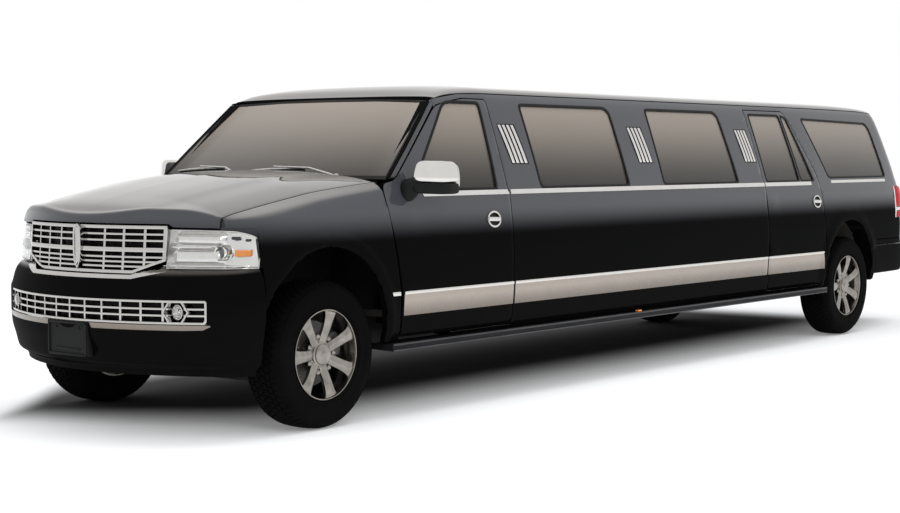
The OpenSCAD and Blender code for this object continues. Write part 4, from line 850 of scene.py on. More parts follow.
# Stage
class LIMO_OT_stage(bpy.types.Operator):
    """Sets the camera, the pale floor and the even studio light"""

    bl_idname = "limo.stage"
    bl_label = "Stage"

    # Edges of the painted shadow: the way each one faces on the floor, and how far out it starts
    SHADOW = (((0.0, 1.0), 0.0), ((0.786, 0.619), 2.35), ((2.2, -2.8), 10.9), ((0.06, -1.0), 1.35), ((-1.0, 0.0), 3.8))

    def execute(self, context):
        sizes = context.scene.limo_stage
        self.set_camera(context, sizes)
        self.set_world(context, sizes)
        self.lay_floor()
        self.hang_lamps()
        return {"FINISHED"}

    def set_camera(self, context, sizes):
        camera = bpy.data.cameras.new("camera")
        camera.lens = sizes.lens
        camera.sensor_width = 36
        camera.sensor_fit = "HORIZONTAL"
        camera.clip_end = 200
        seen = bpy.data.objects.new("camera", camera)
        seen.location = sizes.place
        across = math.cos(sizes.pitch)
        look = Vector((across * math.cos(sizes.heading), across * math.sin(sizes.heading), -math.sin(sizes.pitch)))
        seen.rotation_euler = look.to_track_quat("-Z", "Y").to_euler()
        context.scene.collection.objects.link(seen)
        context.scene.camera = seen

    def set_world(self, context, sizes):
        world = bpy.data.worlds.new("studio")
        world.use_nodes = True
        tree = world.node_tree
        light = tree.nodes["Background"]
        light.inputs["Strength"].default_value = sizes.daylight
        light.inputs["Color"].default_value = (0.97, 0.985, 1.0, 1)
        white = tree.nodes.new("ShaderNodeBackground")
        path = tree.nodes.new("ShaderNodeLightPath")
        either = tree.nodes.new("ShaderNodeMath")
        either.operation = "MAXIMUM"
        any_ray = tree.nodes.new("ShaderNodeMath")
        any_ray.operation = "MAXIMUM"
        blend = tree.nodes.new("ShaderNodeMixShader")
        link = tree.links.new
        link(path.outputs["Is Camera Ray"], either.inputs[0])
        link(path.outputs["Is Glossy Ray"], either.inputs[1])
        link(either.outputs[0], any_ray.inputs[0])
        link(path.outputs["Is Transmission Ray"], any_ray.inputs[1])
        link(any_ray.outputs[0], blend.inputs[0])
        link(light.outputs[0], blend.inputs[1])
        link(white.outputs[0], blend.inputs[2])
        link(blend.outputs[0], tree.nodes["World Output"].inputs[0])
        white.inputs["Color"].default_value = (1, 1, 1, 1)
        context.scene.world = world
        context.scene.view_settings.view_transform = "Standard"

    def lay_floor(self):
        bm = bmesh.new()
        bmesh.ops.create_grid(bm, x_segments=1, y_segments=1, size=60)
        mesh = bpy.data.meshes.new("floor")
        bm.to_mesh(mesh)
        bm.free()
        floor = bpy.data.objects.new("floor", mesh)
        bpy.context.scene.collection.objects.link(floor)
        pale = bpy.data.materials.new("pale_floor")
        pale.use_nodes = True
        shader = pale.node_tree.nodes["Principled BSDF"]
        shader.inputs["Base Color"].default_value = (0.92, 0.92, 0.92, 1)
        shader.inputs["Roughness"].default_value = 0.9
        shader.inputs["Specular IOR Level"].default_value = 0.0
        shader.inputs["Emission Color"].default_value = (1, 1, 1, 1)
        self.shade_floor(pale.node_tree, shader)
        mesh.materials.append(pale)

    def shade_floor(self, tree, shader):
        """Paints a soft shadow on the floor under the vehicle and keeps it white beyond."""
        place = tree.nodes.new("ShaderNodeTexCoord")
        beyond = None
        for way, reach in self.SHADOW:
            along = tree.nodes.new("ShaderNodeVectorMath")
            along.operation = "DOT_PRODUCT"
            along.inputs[1].default_value = (*way, 0)
            past = tree.nodes.new("ShaderNodeMath")
            past.operation = "SUBTRACT"
            past.inputs[1].default_value = reach
            tree.links.new(place.outputs["Object"], along.inputs[0])
            tree.links.new(along.outputs["Value"], past.inputs[0])
            if beyond is None:
                beyond = past
                continue
            most = tree.nodes.new("ShaderNodeMath")
            most.operation = "SMOOTH_MAX"
            most.inputs[2].default_value = 0.3
            tree.links.new(beyond.outputs[0], most.inputs[0])
            tree.links.new(past.outputs[0], most.inputs[1])
            beyond = most
        spread = tree.nodes.new("ShaderNodeMapRange")
        spread.interpolation_type = "SMOOTHSTEP"
        spread.inputs["From Max"].default_value = 0.85
        tone = tree.nodes.new("ShaderNodeMix")
        tone.data_type = "RGBA"
        tone.inputs[6].default_value = (0.085, 0.083, 0.082, 1)
        tone.inputs[7].default_value = (0.95, 0.95, 0.95, 1)
        glow = tree.nodes.new("ShaderNodeMath")
        glow.operation = "MULTIPLY"
        glow.inputs[1].default_value = 0.16
        tree.links.new(beyond.outputs[0], spread.inputs["Value"])
        tree.links.new(spread.outputs["Result"], tone.inputs[0])
        tree.links.new(tone.outputs[2], shader.inputs["Base Color"])
        tree.links.new(spread.outputs["Result"], glow.inputs[0])
        tree.links.new(glow.outputs[0], shader.inputs["Emission Strength"])

    def hang_lamps(self):
        for name, place, size, power in (
                ("overhead", (1.0, 1.0, 7.5), 7.0, 210),
                ("near_side", (7.0, 7.5, 4.5), 4.0, 110)):
            lamp = bpy.data.lights.new(name, "AREA")
            lamp.shape = "RECTANGLE"
            lamp.size = size
            lamp.size_y = size * 0.5
            lamp.energy = power
            hung = bpy.data.objects.new(name, lamp)
            hung.location = place
            hung.rotation_euler = (Vector((0, 0, 0.8)) - Vector(place)).to_track_quat("-Z", "Y").to_euler()
            hung.visible_glossy = False
            bpy.context.scene.collection.objects.link(hung)


class LIMO_OT_frame_finishes(bpy.types.Operator):
    """Gives every piece of the frame that stays in view its finish"""

    bl_idname = "limo.frame_finishes"
    bl_label = "Frame finishes"

    USES = {
        "structure": ("body_side_left", "body_side_right", "roof", "front_wings", "bonnet", "front_bumper",
                      "rear_bumper", "tailgate", "door_front_left", "door_front_right", "door_rear_left",
                      "door_rear_right"),
        "steel": ("chassis_frame", "front_structure", "front_suspension", "rear_suspension", "driveline",
                  "knuckle_left", "knuckle_right"),
        "trim": ("floor_pan",),
        "iron": ("engine_block",),
        "plastic": ("running_boards", "plate_bracket", "dashboard"),
        "leather": ("steering_wheel",),
    }

    def execute(self, context):
        make_finishes()
        for finish, names in self.USES.items():
            for name in names:
                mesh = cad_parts[name].data
                mesh.materials.clear()
                mesh.materials.append(FINISHES[finish])
        return {"FINISHED"}


# Body surfaces in more detail
FLARE_WIDTH = 0.085


def flare(x, z, axle, radius, middle_z):
    """How far the lip round a wheel arch stands out."""
    d = math.hypot(x - axle, z - middle_z) - radius
    if d < 0 or d > FLARE_WIDTH or z < middle_z - 0.25:
        return 0
    share = 1 - (d / FLARE_WIDTH) ** 3
    return 0.013 * min(1, share * 1.4)


def arch(axle, radius, middle_z, steps=36):
    """Outline of a wheel arch, open below."""
    arc = [(axle + radius * math.cos(math.pi * i / steps), middle_z + radius * math.sin(math.pi * i / steps))
           for i in range(steps + 1)]
    return [(axle + radius, 0.1), *arc, (axle - radius, 0.1)]


def on_side(x, z, proud):
    y = side_y(x, z) + proud + flare(x, z, REAR_AXLE, ARCH_R - 0.02, ARCH_Z - 0.018)
    return Vector((x, y, z))


def side_sheet(outline, holes, proud, step=0.03):
    """Sheet on the left side's surface with an outline and openings."""
    xs = [p[0] for p in outline]
    zs = [p[1] for p in outline]
    x0, x1, z0, z1 = min(xs), max(xs), min(zs), max(zs)
    across = max(2, round((x1 - x0) / step))
    up = max(2, round((z1 - z0) / step))
    bm = laid_grid(across, up, lambda u, v: on_side(mix(x0, x1, u), mix(z0, z1, v), proud))
    face_out(bm, Vector((0, 1, 0)))
    cut(bm, outline, 1, True)
    for hole in holes:
        cut(bm, hole, 1, False)
    return bm


def side_panel(outline, holes, sizes, proud=None, depth=None, edge=None, step=0.03):
    """Thick panel on the left side with rounded edges."""
    bm = side_sheet(outline, holes, sizes.proud if proud is None else proud, step)
    thicken(bm, sizes.skin if depth is None else depth)
    round_edges(bm, sizes.edge if edge is None else edge)
    return bm


TAIL_CUT = TAIL + 0.16 - tail_x(0.86)
GATE_HALF = 0.84
gate_half = through([(0.7, GATE_HALF), (BELT, GATE_HALF - 0.008), (1.8, GATE_HALF - 0.145), (1.9, GATE_HALF - 0.175)])
LAMP_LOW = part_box("tail_lamps")[0].z
LAMP_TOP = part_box("tail_lamps")[1].z
LAMP_SIDE = TAIL + 0.42


class LIMO_OT_sides(bpy.types.Operator):
    """Makes the quarters and the lengthened panels between the doors, with the roof rails"""

    bl_idname = "limo.sides"
    bl_label = "Body sides"

    def execute(self, context):
        sizes = context.scene.limo_body
        low = SILL - 0.02
        behind = REAR_AXLE - ARCH_R - 0.05
        heights = [BUMPER_TOP + (RAIL_TOP - 0.055 - BUMPER_TOP) * i / 12 for i in range(13)]
        tops = [TAIL + 0.5 + (SCREEN_TOP.x + 0.03 - TAIL - 0.5) * i / 24 for i in range(25)]
        outline = [(behind, BUMPER_TOP), (behind, low), (SCREEN_TOP.x + 0.03, low)]
        outline += [(x, rail_z(x)) for x in reversed(tops)]
        outline += [(TAIL_CUT + tail_x(z), z) for z in reversed(heights)]
        lamp = [(TAIL - 0.1, LAMP_LOW), (LAMP_SIDE, LAMP_LOW), (LAMP_SIDE, LAMP_TOP), (TAIL - 0.1, LAMP_TOP)]
        holes = [FRONT_DOOR, BACK_DOOR, rounded(WINDOW_ONE, 0.03), rounded(WINDOW_TWO, 0.03),
                 rounded(QUARTER_WINDOW, 0.03), arch(REAR_AXLE, ARCH_R - 0.02, ARCH_Z - 0.018), lamp]
        bm = side_sheet(outline, holes, sizes.proud, 0.04)
        gate = [(0, 0.6)] + [(gate_half(z) + 0.009, z) for z in (0.6, 0.9, BELT, 1.5, 1.7, 1.8, 1.95)] + [(0, 1.95)]
        cut(bm, gate, 0, False)
        thicken(bm, sizes.skin)
        round_edges(bm, sizes.edge)
        both(bm, "side_panel_{}", "root", FINISHES["paint"])
        self.make_pillar(sizes)
        return {"FINISHED"}

    def make_pillar(self, sizes):
        """Windscreen pillars, from the wings to the roof."""
        low = SCREEN_BASE.z + 0.009
        high = SCREEN_TOP.z - 0.01

        def place(u, v):
            z = mix(low, high, v)
            y = plan_half(pillar_x(z)) - side_inset(z)
            return Vector((pillar_x(z) + mix(-0.022, 0.018, u), y + sizes.proud - 0.004 * u, z))

        bm = laid_grid(4, 40, place)
        thicken(bm, -0.03)
        bmesh.ops.recalc_face_normals(bm, faces=bm.faces)
        round_edges(bm, 0.008, 3)
        both(bm, "screen_pillar_{}", "root", FINISHES["paint"])


class LIMO_OT_doors(bpy.types.Operator):
    """Makes the outer skins of the four doors"""

    bl_idname = "limo.doors"
    bl_label = "Doors"

    def swell(self, x, z, hinge):
        """Slight fullness of a skin over the door's hinge pins."""
        across = max(0, 1 - ((x - hinge) / 0.11) ** 2)
        return 0.005 * across * max(max(0, 1 - ((z - pin) / 0.11) ** 2) for pin in (0.72, 1.09))

    def execute(self, context):
        sizes = context.scene.limo_body
        for end, outline, holes, hinge in (
                ("front", FRONT_DOOR, [rounded(FRONT_WINDOW, 0.02)], DOOR_LOW - 0.055),
                ("rear", BACK_DOOR, [rounded(BACK_WINDOW, 0.02), rounded(VENT_WINDOW, 0.015)], C_PILLAR - 0.085)):
            shape = rounded(offset(outline, -sizes.shut_gap), 0.03)
            bm = side_sheet(shape, holes, sizes.proud)
            for v in bm.verts:
                v.co.y += self.swell(v.co.x, v.co.z, hinge)
            thicken(bm, sizes.skin)
            round_edges(bm, sizes.edge)
            both(bm, f"door_skin_{end}_{{}}", f"door_{end}_{{}}", FINISHES["paint"])
        return {"FINISHED"}


wing_top = through([
    (FRONT_AXLE - 0.64, BELT + 0.062), (FRONT_AXLE, BELT - 0.008), (FRONT_AXLE + 0.08, BELT - 0.022),
    (FRONT_AXLE + 0.54, BELT - 0.112), (FRONT_AXLE + 0.602, BELT - 0.128)])
WING_END = FRONT_AXLE + 0.54
WING_TIP = FRONT_AXLE + 0.602


def wing_edge(x):
    return HALF - 0.096 - (x - FRONT_AXLE + 0.64) * 0.0864


class LIMO_OT_wings(bpy.types.Operator):
    """Makes the front wings with the lips of their wheel arches"""

    bl_idname = "limo.wings"
    bl_label = "Front wings"

    LOW_ROWS = ((SILL - 0.02, 0.034), (0.52, 0.014), (0.7, 0.002), (0.86, 0.0), (1.0, 0.004))
    HIGH_ROWS = ((0.35, 0.05), (0.65, 0.17), (0.86, 0.42), (1.0, 1.0))

    def section(self, x):
        """Height and half width along the wing's section."""
        side = plan_half(x)
        rows = [(z, side - inset) for z, inset in self.LOW_ROWS]
        rows += [(mix(1.0, wing_top(x), up), mix(side - 0.004, wing_edge(x), over)) for up, over in self.HIGH_ROWS]
        return (through([(i, r[0]) for i, r in enumerate(rows)]), through([(i, r[1]) for i, r in enumerate(rows)]))

    def execute(self, context):
        sizes = context.scene.limo_body
        start = DOOR_LOW - 0.03
        last = len(self.LOW_ROWS) + len(self.HIGH_ROWS) - 1
        sections = {}

        def place(u, v):
            x = mix(start, WING_TIP, 1 - (1 - u) ** 1.25)
            if u not in sections:
                sections[u] = self.section(x)
            height, width = sections[u]
            z = height(v * last)
            y = width(v * last) + flare(x, z, FRONT_AXLE, ARCH_R, ARCH_Z) + sizes.proud * (1 - v * v)
            return Vector((x, y, z + sizes.proud * v * v))

        bm = laid_grid(56, 64, place)
        face_out(bm, Vector((0, 1, 0)))
        door_side = offset(FRONT_DOOR, sizes.shut_gap)
        foot = pillar_x(SCREEN_BASE.z + 0.009)
        behind = [(DOOR_LOW - 0.06, 0.3), (DOOR_LOW - 0.06, 1.5), (foot + 0.024, 1.5), (foot + 0.024, BELT + 0.02),
                  (DOOR_LOW, 0.3)]
        ahead = [(FRONT_AXLE + ARCH_R - 0.02, 0.2), (WING_TIP + 0.05, 0.2), (WING_TIP + 0.05, SHELF + 0.003),
                 (FRONT_AXLE + ARCH_R - 0.02, SHELF + 0.003)]
        lamp = [(FRONT_AXLE + 0.474, SHELF), (WING_TIP + 0.05, SHELF), (WING_TIP + 0.05, 1.102),
                (FRONT_AXLE + 0.49, 1.102), (FRONT_AXLE + 0.474, 1.085)]
        for hole in (door_side, behind, arch(FRONT_AXLE, ARCH_R, ARCH_Z), ahead, lamp):
            cut(bm, hole, 1, False)
        thicken(bm, sizes.skin)
        round_edges(bm, sizes.edge)
        both(bm, "wing_panel_{}", "root", FINISHES["paint"])
        return {"FINISHED"}


crown_line = through([
    (FRONT_AXLE - 0.52, BELT + 0.118), (FRONT_AXLE - 0.1, BELT + 0.092), (FRONT_AXLE + 0.3, BELT + 0.036),
    (FRONT_AXLE + 0.6, BELT - 0.02), (FRONT_AXLE + 0.76, BELT - 0.062), (FRONT_AXLE + 0.85, BELT - 0.112)])
bonnet_drop = through([(0, 0), (0.3, 0.05), (0.52, 0.17), (0.62, 0.3), (0.8, 0.5), (0.93, 0.78), (1, 1)])
lip_height = through([
    (GRILLE_HALF + 0.006, GRILLE_TOP + 0.008), (GRILLE_HALF + 0.02, 1.106), (0.83, 1.102), (1.0, 1.102)])
BONNET_REAR = SCREEN_BASE.x + 0.062
BONNET_SIDE = HALF - 0.02


def bonnet_front(y):
    return nose_x(y, GRILLE_X - 0.02, BONNET_SIDE)


class LIMO_OT_bonnet(bpy.types.Operator):
    """Makes the bonnet with its raised centre and the lip over the grille"""

    bl_idname = "limo.bonnet"
    bl_label = "Bonnet"

    DEPTH = 0.018

    def execute(self, context):
        sizes = context.scene.limo_body
        half = wing_edge(WING_END) - sizes.shut_gap
        corner_x = bonnet_front(half)
        fold = 0.86
        bend = 0.03

        def place(u, v):
            s = 2 * u - 1
            t = min(v / fold, 1)
            y = s * (wing_edge(mix(BONNET_REAR - 0.06, corner_x, t)) - sizes.shut_gap)
            x = mix(BONNET_REAR - SCREEN_BOW * 0.6 * y * y, bonnet_front(y) - bend * 0.6, t)
            z = mix(crown_line(x), wing_top(x) + 0.002, bonnet_drop(abs(s))) + sizes.proud
            if v > fold:
                down = (v - fold) / (1 - fold)
                turn = min(down / 0.6, 1) * math.pi / 2
                low = z - bend * (1 - math.cos(turn))
                if down > 0.6:
                    low = mix(low, lip_height(abs(y)), (down - 0.6) / 0.4)
                return Vector((x + bend * math.sin(turn), y, low))
            return Vector((x, y, z))

        bm = laid_grid(72, 92, place)
        face_out(bm, Vector((0, 0, 1)))
        thicken(bm, self.DEPTH)
        round_edges(bm, sizes.edge, 2, 60)
        piece(bm, "bonnet_skin", "bonnet", FINISHES["paint"], ("bonnet",), 38)
        self.make_liner(place)
        return {"FINISHED"}


    def make_liner(self, place):
        """Quilted sound liner under the bonnet."""
        def lay(u, v):
            swell = 0.004 * abs(math.sin(5 * math.pi * u) * math.sin(4 * math.pi * v)) ** 0.5
            return place(mix(0.12, 0.88, u), mix(0.07, 0.74, v)) - Vector((0, 0, self.DEPTH + 0.001 + swell))

        bm = laid_grid(60, 48, lay)
        face_out(bm, Vector((0, 0, -1)))
        thicken(bm, 0.006)
        piece(bm, "bonnet_liner", "bonnet", FINISHES["trim"], ("bonnet",), 60)


crown = through([
    (TAIL + 0.438, RAIL_TOP + 0.006), (TAIL + 0.52, ROOF_TOP - 0.04), (TAIL + 0.65, ROOF_TOP - 0.024),
    (TAIL + 0.9, ROOF_TOP - 0.01), (TAIL + 1.4, ROOF_TOP), (SCREEN_TOP.x - 0.5, ROOF_TOP),
    (SCREEN_TOP.x - 0.25, ROOF_TOP - 0.012), (SCREEN_TOP.x - 0.1, ROOF_TOP - 0.038),
    (SCREEN_TOP.x - 0.004, SCREEN_TOP.z + 0.012)])
roof_fall = through([(0, 0), (0.3, 0.03), (0.62, 0.12), (0.8, 0.27), (0.925, 0.46), (0.975, 0.69), (1, 0.92)])


class LIMO_OT_roof(bpy.types.Operator):
    """Makes the long roof skin"""

    bl_idname = "limo.roof"
    bl_label = "Roof"

    def execute(self, context):
        sizes = context.scene.limo_body
        start = TAIL + 0.438
        end = SCREEN_TOP.x - 0.004

        def place(u, v):
            x = mix(start, end, 0.5 - 0.5 * math.cos(math.pi * v))
            s = math.sin((u - 0.5) * math.pi)
            edge = side_y(x, rail_z(x)) - 0.002
            return Vector((x, s * edge, mix(crown(x), rail_z(x), roof_fall(abs(s))) + sizes.proud))

        bm = laid_grid(40, 90, place)
        face_out(bm, Vector((0, 0, 1)))
        thicken(bm, sizes.skin)
        round_edges(bm, sizes.edge)
        piece(bm, "roof_skin", "root", FINISHES["paint"])
        return {"FINISHED"}


BUMPER_ROWS = (
    (0.33, 0.12), (0.36, 0.11), (0.4, 0.052), (0.467, 0.03), (0.545, 0.006), (0.625, 0.0), (0.74, 0.0),
    (0.768, 0.012), (0.8, 0.022), (0.835, 0.036), (0.862, 0.058), (0.882, 0.086), (0.893, 0.115))
bumper_back = through(list(BUMPER_ROWS))


class LIMO_OT_front_bumper(bpy.types.Operator):
    """Makes the front bumper cover, open for both grilles, and the plate holder in front of it"""

    bl_idname = "limo.front_bumper"
    bl_label = "Front bumper"

    def execute(self, context):
        sizes = context.scene.limo_body
        height = through([(i, r[0]) for i, r in enumerate(BUMPER_ROWS)])
        last = len(BUMPER_ROWS) - 1
        rear = FRONT_AXLE + ARCH_R - 0.006

        def place(u, v):
            s = 2 * u - 1
            s = math.copysign(1 - (1 - abs(s)) ** 2.2, s) * 0.9995
            back = bumper_back(height(v * last))
            side = HALF - 0.012 - back * 0.3
            x = nose_x(s * side, NOSE - back, side)
            return Vector((max(x, rear - 0.03 + 0.02 * abs(s)), s * (side + sizes.proud), height(v * last)))

        bm = laid_grid(110, 48, place)
        bmesh.ops.translate(bm, vec=(sizes.proud, 0, 0), verts=bm.verts)
        face_out(bm, Vector((1, 0, 0)))
        low_half = LOW_GRILLE_HALF + 0.002
        lower = [(-low_half, LOW_GRILLE_LOW - 0.002), (low_half, LOW_GRILLE_LOW - 0.002),
                 (low_half, LOW_GRILLE_TOP + 0.002), (-low_half, LOW_GRILLE_TOP + 0.002)]
        foot_half = GRILLE_HALF - 0.13
        upper = [(-foot_half, GRILLE_LOW + 0.008), (foot_half, GRILLE_LOW + 0.008), (GRILLE_HALF, GRILLE_LOW + 0.068),
                 (GRILLE_HALF, 1.0), (-GRILLE_HALF, 1.0), (-GRILLE_HALF, GRILLE_LOW + 0.068)]
        for hole in (lower, upper):
            cut(bm, hole, 0, False)
        cut(bm, arch(FRONT_AXLE, ARCH_R + 0.006, ARCH_Z), 1, False)
        cut(bm, [(FRONT_AXLE, 0.1), (rear, 0.1), (rear, 1.0), (FRONT_AXLE, 1.0)], 1, False)
        thicken(bm, 0.012)
        round_edges(bm, sizes.edge)
        piece(bm, "front_bumper_cover", "root", FINISHES["paint"], ("front_bumper",), 40)
        self.make_bracket()
        return {"FINISHED"}


    def make_bracket(self):
        """Blank plate bracket with a raised rim and two bolts."""
        low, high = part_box("plate_bracket")
        bm = bmesh.new()
        box(bm, (low.x, low.y, low.z), (high.x - 0.002, high.y, high.z), 8, 1)
        for y in (low.y, high.y - 0.012):
            box(bm, (high.x - 0.004, y, low.z), (high.x + 0.005, y + 0.012, high.z))
        for z in (low.z, high.z - 0.012):
            box(bm, (high.x - 0.004, low.y, z), (high.x + 0.005, high.y, z + 0.012))
        box(bm, (high.x - 0.004, -0.1, low.z + 0.03), (high.x + 0.003, 0.1, low.z + 0.042))
        round_edges(bm, 0.003, 2)
        bolts = [lathe([(0.0, 0.006), (0.006, 0.005), (0.008, 0.0), (0.0, 0.0)], 16, (high.x - 0.002, y, high.z - 0.03), (1, 0, 0))
                 for y in (-0.09, 0.09)]
        piece(join(bm, *bolts), "plate_holder", "root", FINISHES["plastic"], ("plate_bracket",))


class LIMO_OT_tailgate(bpy.types.Operator):
    """Makes the tailgate's outer skin with its plate recess"""

    bl_idname = "limo.tailgate"
    bl_label = "Tailgate"

    def execute(self, context):
        sizes = context.scene.limo_body
        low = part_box("tailgate")[0].z
        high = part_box("tailgate_glass")[1].z + 0.044

        def place(u, v):
            s = 2 * u - 1
            z = mix(low, high, v)
            x = tail_x(z) - 0.025 * (1 - s * s) + 0.038 * s ** 6 - sizes.proud
            return Vector((x, s * gate_half(z), z))

        bm = laid_grid(52, 44, place)
        face_out(bm, Vector((-1, 0, 0)))
        cut(bm, rounded(GATE_WINDOW, 0.04), 0, False)
        cut(bm, [(-0.26, 0.86), (0.26, 0.86), (0.26, 1.06), (-0.26, 1.06)], 0, False)
        thicken(bm, sizes.skin)
        round_edges(bm, sizes.edge)
        piece(bm, "tailgate_skin", "tailgate", FINISHES["paint"])
        return {"FINISHED"}


def screen_half(z):
    return plan_half(pillar_x(z)) - side_inset(z) - 0.034


def screen_spot(u, v, back=0.0):
    """Point on the windscreen: across from the right side to the left, and up."""
    z = mix(SCREEN_BASE.z, SCREEN_TOP.z, v)
    y = (2 * u - 1) * screen_half(z)
    lift = 0.03 * max(0, abs(2 * u - 1) - 0.88) / 0.12
    x = mix(SCREEN_BASE.x - SCREEN_BOW * y * y, SCREEN_TOP.x, v) + lift
    return Vector((x - back, y, z - 0.03 * y * y * v - back * 0.5))


class LIMO_OT_glass(bpy.types.Operator):
    """Makes the windscreen, the side windows, the door windows and the tailgate's window"""

    bl_idname = "limo.glass"
    bl_label = "Glass"

    def execute(self, context):
        glass = FINISHES["glass"]
        bm = laid_grid(36, 20, screen_spot)
        face_out(bm, Vector((1, 0, 1)))
        thicken(bm, 0.006)
        piece(bm, "windscreen_pane", "root", glass, ("windscreen",))
        recess = -0.006
        for name, window in (("pane_one", WINDOW_ONE), ("pane_two", WINDOW_TWO), ("pane_quarter", QUARTER_WINDOW)):
            both(self.pane(window, recess), f"{name}_{{}}", "root", glass, ("side_glass",))
        both(self.pane(FRONT_WINDOW, recess), "pane_front_{}", "door_front_{}", glass,
             ("door_glass_front_{}",))
        rear = join(self.pane(BACK_WINDOW, recess), self.pane(VENT_WINDOW, recess))
        both(rear, "pane_rear_{}", "door_rear_{}", glass, ("door_glass_rear_{}",))

        def place(u, v):
            s = 2 * u - 1
            z = mix(BELT - 0.01, 1.765, v)
            return Vector((tail_x(z) - 0.025 * (1 - s * s) + 0.038 * s ** 6 + 0.006, s * gate_half(z), z))

        bm = laid_grid(36, 16, place)
        face_out(bm, Vector((-1, 0, 0)))
        cut(bm, rounded(offset(GATE_WINDOW, 0.012), 0.05), 0, True)
        thicken(bm, 0.005)
        piece(bm, "tailgate_pane", "tailgate", glass, ("tailgate_glass",))
        return {"FINISHED"}

    def pane(self, window, recess):
        return side_panel(rounded(offset(window, 0.012), 0.03), [], None, recess, 0.004, 0.0008, 0.05)


GATE_WINDOW = [(-GATE_HALF + 0.09, BELT + 0.022), (GATE_HALF - 0.09, BELT + 0.022), (GATE_HALF - 0.2, 1.745),
               (-GATE_HALF + 0.2, 1.745)]


class LIMO_OT_seals(bpy.types.Operator):
    """Makes the black rubber seals round the glass"""

    bl_idname = "limo.seals"
    bl_label = "Seals"

    def ring(self, window, radius, wide):
        outer = rounded(offset(window, wide), radius + wide)
        inner = rounded(offset(window, -0.005), radius)
        return side_panel(outer, [inner], None, 0.0035, 0.012, 0.0012, 0.04)

    def execute(self, context):
        seal = FINISHES["seal"]
        fixed = join(self.ring(WINDOW_ONE, 0.03, 0.012), self.ring(WINDOW_TWO, 0.03, 0.012),
                     self.ring(QUARTER_WINDOW, 0.03, 0.009))
        both(fixed, "window_seals_{}", "root", seal)
        both(self.ring(FRONT_WINDOW, 0.02, 0.012), "front_door_seal_{}", "door_front_{}", seal)
        rear = join(self.ring(BACK_WINDOW, 0.02, 0.009), self.ring(VENT_WINDOW, 0.015, 0.009))
        both(rear, "rear_door_seals_{}", "door_rear_{}", seal)

        bm = laid_grid(40, 24, lambda u, v: screen_spot(u, v) + Vector((0.0015, 0, 0.001)))
        face_out(bm, Vector((1, 0, 1)))
        low, high = SCREEN_BASE.z, SCREEN_TOP.z
        sides = [(screen_half(z) - 0.012, z + 0.02) for z in (low, mix(low, high, 0.5))]
        sides += [(screen_half(high) - 0.03, high - 0.012 - 0.03 * 0.6), (0.4, high - 0.016), (0, high - 0.014)]
        inner = [(0, low + 0.02), *sides]
        inner += [(-y, z) for y, z in reversed(sides[:-1])]
        cut(bm, inner, 0, False)
        thicken(bm, 0.002)
        piece(bm, "windscreen_seal", "root", seal)
        return {"FINISHED"}


class LIMO_OT_mouldings(bpy.types.Operator):
    """Makes the chrome belt mouldings and the broad bright strips along the sills"""

    bl_idname = "limo.mouldings"
    bl_label = "Mouldings"

    STUB = (FRONT_AXLE - 0.585, FRONT_AXLE - 0.5)

    def strip(self, x0, x1, z0, z1, proud, lean=0.0, edge=0.004):
        outline = [(x0, z0), (x1, z0), (x1 + lean, z1), (x0 + lean, z1)]
        return side_panel(outline, [], None, proud, proud + 0.004, edge, 0.04)

    def execute(self, context):
        sizes = context.scene.limo_body
        gap = sizes.shut_gap + 0.001
        high = BELT - 0.008
        low = high - sizes.moulding
        belt = 0.009
        chrome = FINISHES["chrome"]
        front = B_PILLAR + gap
        rear = C_PILLAR - gap
        middle_run = self.strip(C_PILLAR + gap, B_PILLAR - gap, low, high, belt)
        quarter = self.strip(REAR_AXLE - 0.785, REAR_AXLE + 0.3, high - 0.018, high + 0.006, belt * 0.8)
        both(join(middle_run, quarter), "belt_moulding_{}", "root", chrome)
        both(self.strip(front, FRONT_AXLE - 0.83, low, high, belt, 0.014), "front_door_moulding_{}", "door_front_{}",
             chrome)
        both(self.strip(REAR_DOOR + 0.16, rear, low, high, belt), "rear_door_moulding_{}", "door_rear_{}", chrome)
        self.sill_strips(gap)
        return {"FINISHED"}

    def sill_strips(self, gap):
        low, high = 0.572, 0.692
        bead = high + 0.02
        runs = (("middle", "root", C_PILLAR + gap, B_PILLAR - gap),
                ("front_door", "door_front_{}", B_PILLAR + gap, DOOR_LOW - gap - 0.004),
                ("rear_door", "door_rear_{}", REAR_DOOR - 0.012, C_PILLAR - gap))
        for name, body, x0, x1 in runs:
            both(self.strip(x0, x1, low, high + 0.004, 0.008, edge=0.003), f"sill_strip_{name}_{{}}", body,
                 FINISHES["strip"])
            both(self.strip(x0, x1, high, bead, 0.012, edge=0.005), f"sill_bead_{name}_{{}}", body,
                 FINISHES["chrome"])
        x0, x1 = self.STUB
        both(self.strip(x0, x1, high - 0.004, bead, 0.008, 0.004), "wing_strip_{}", "root", FINISHES["chrome"])


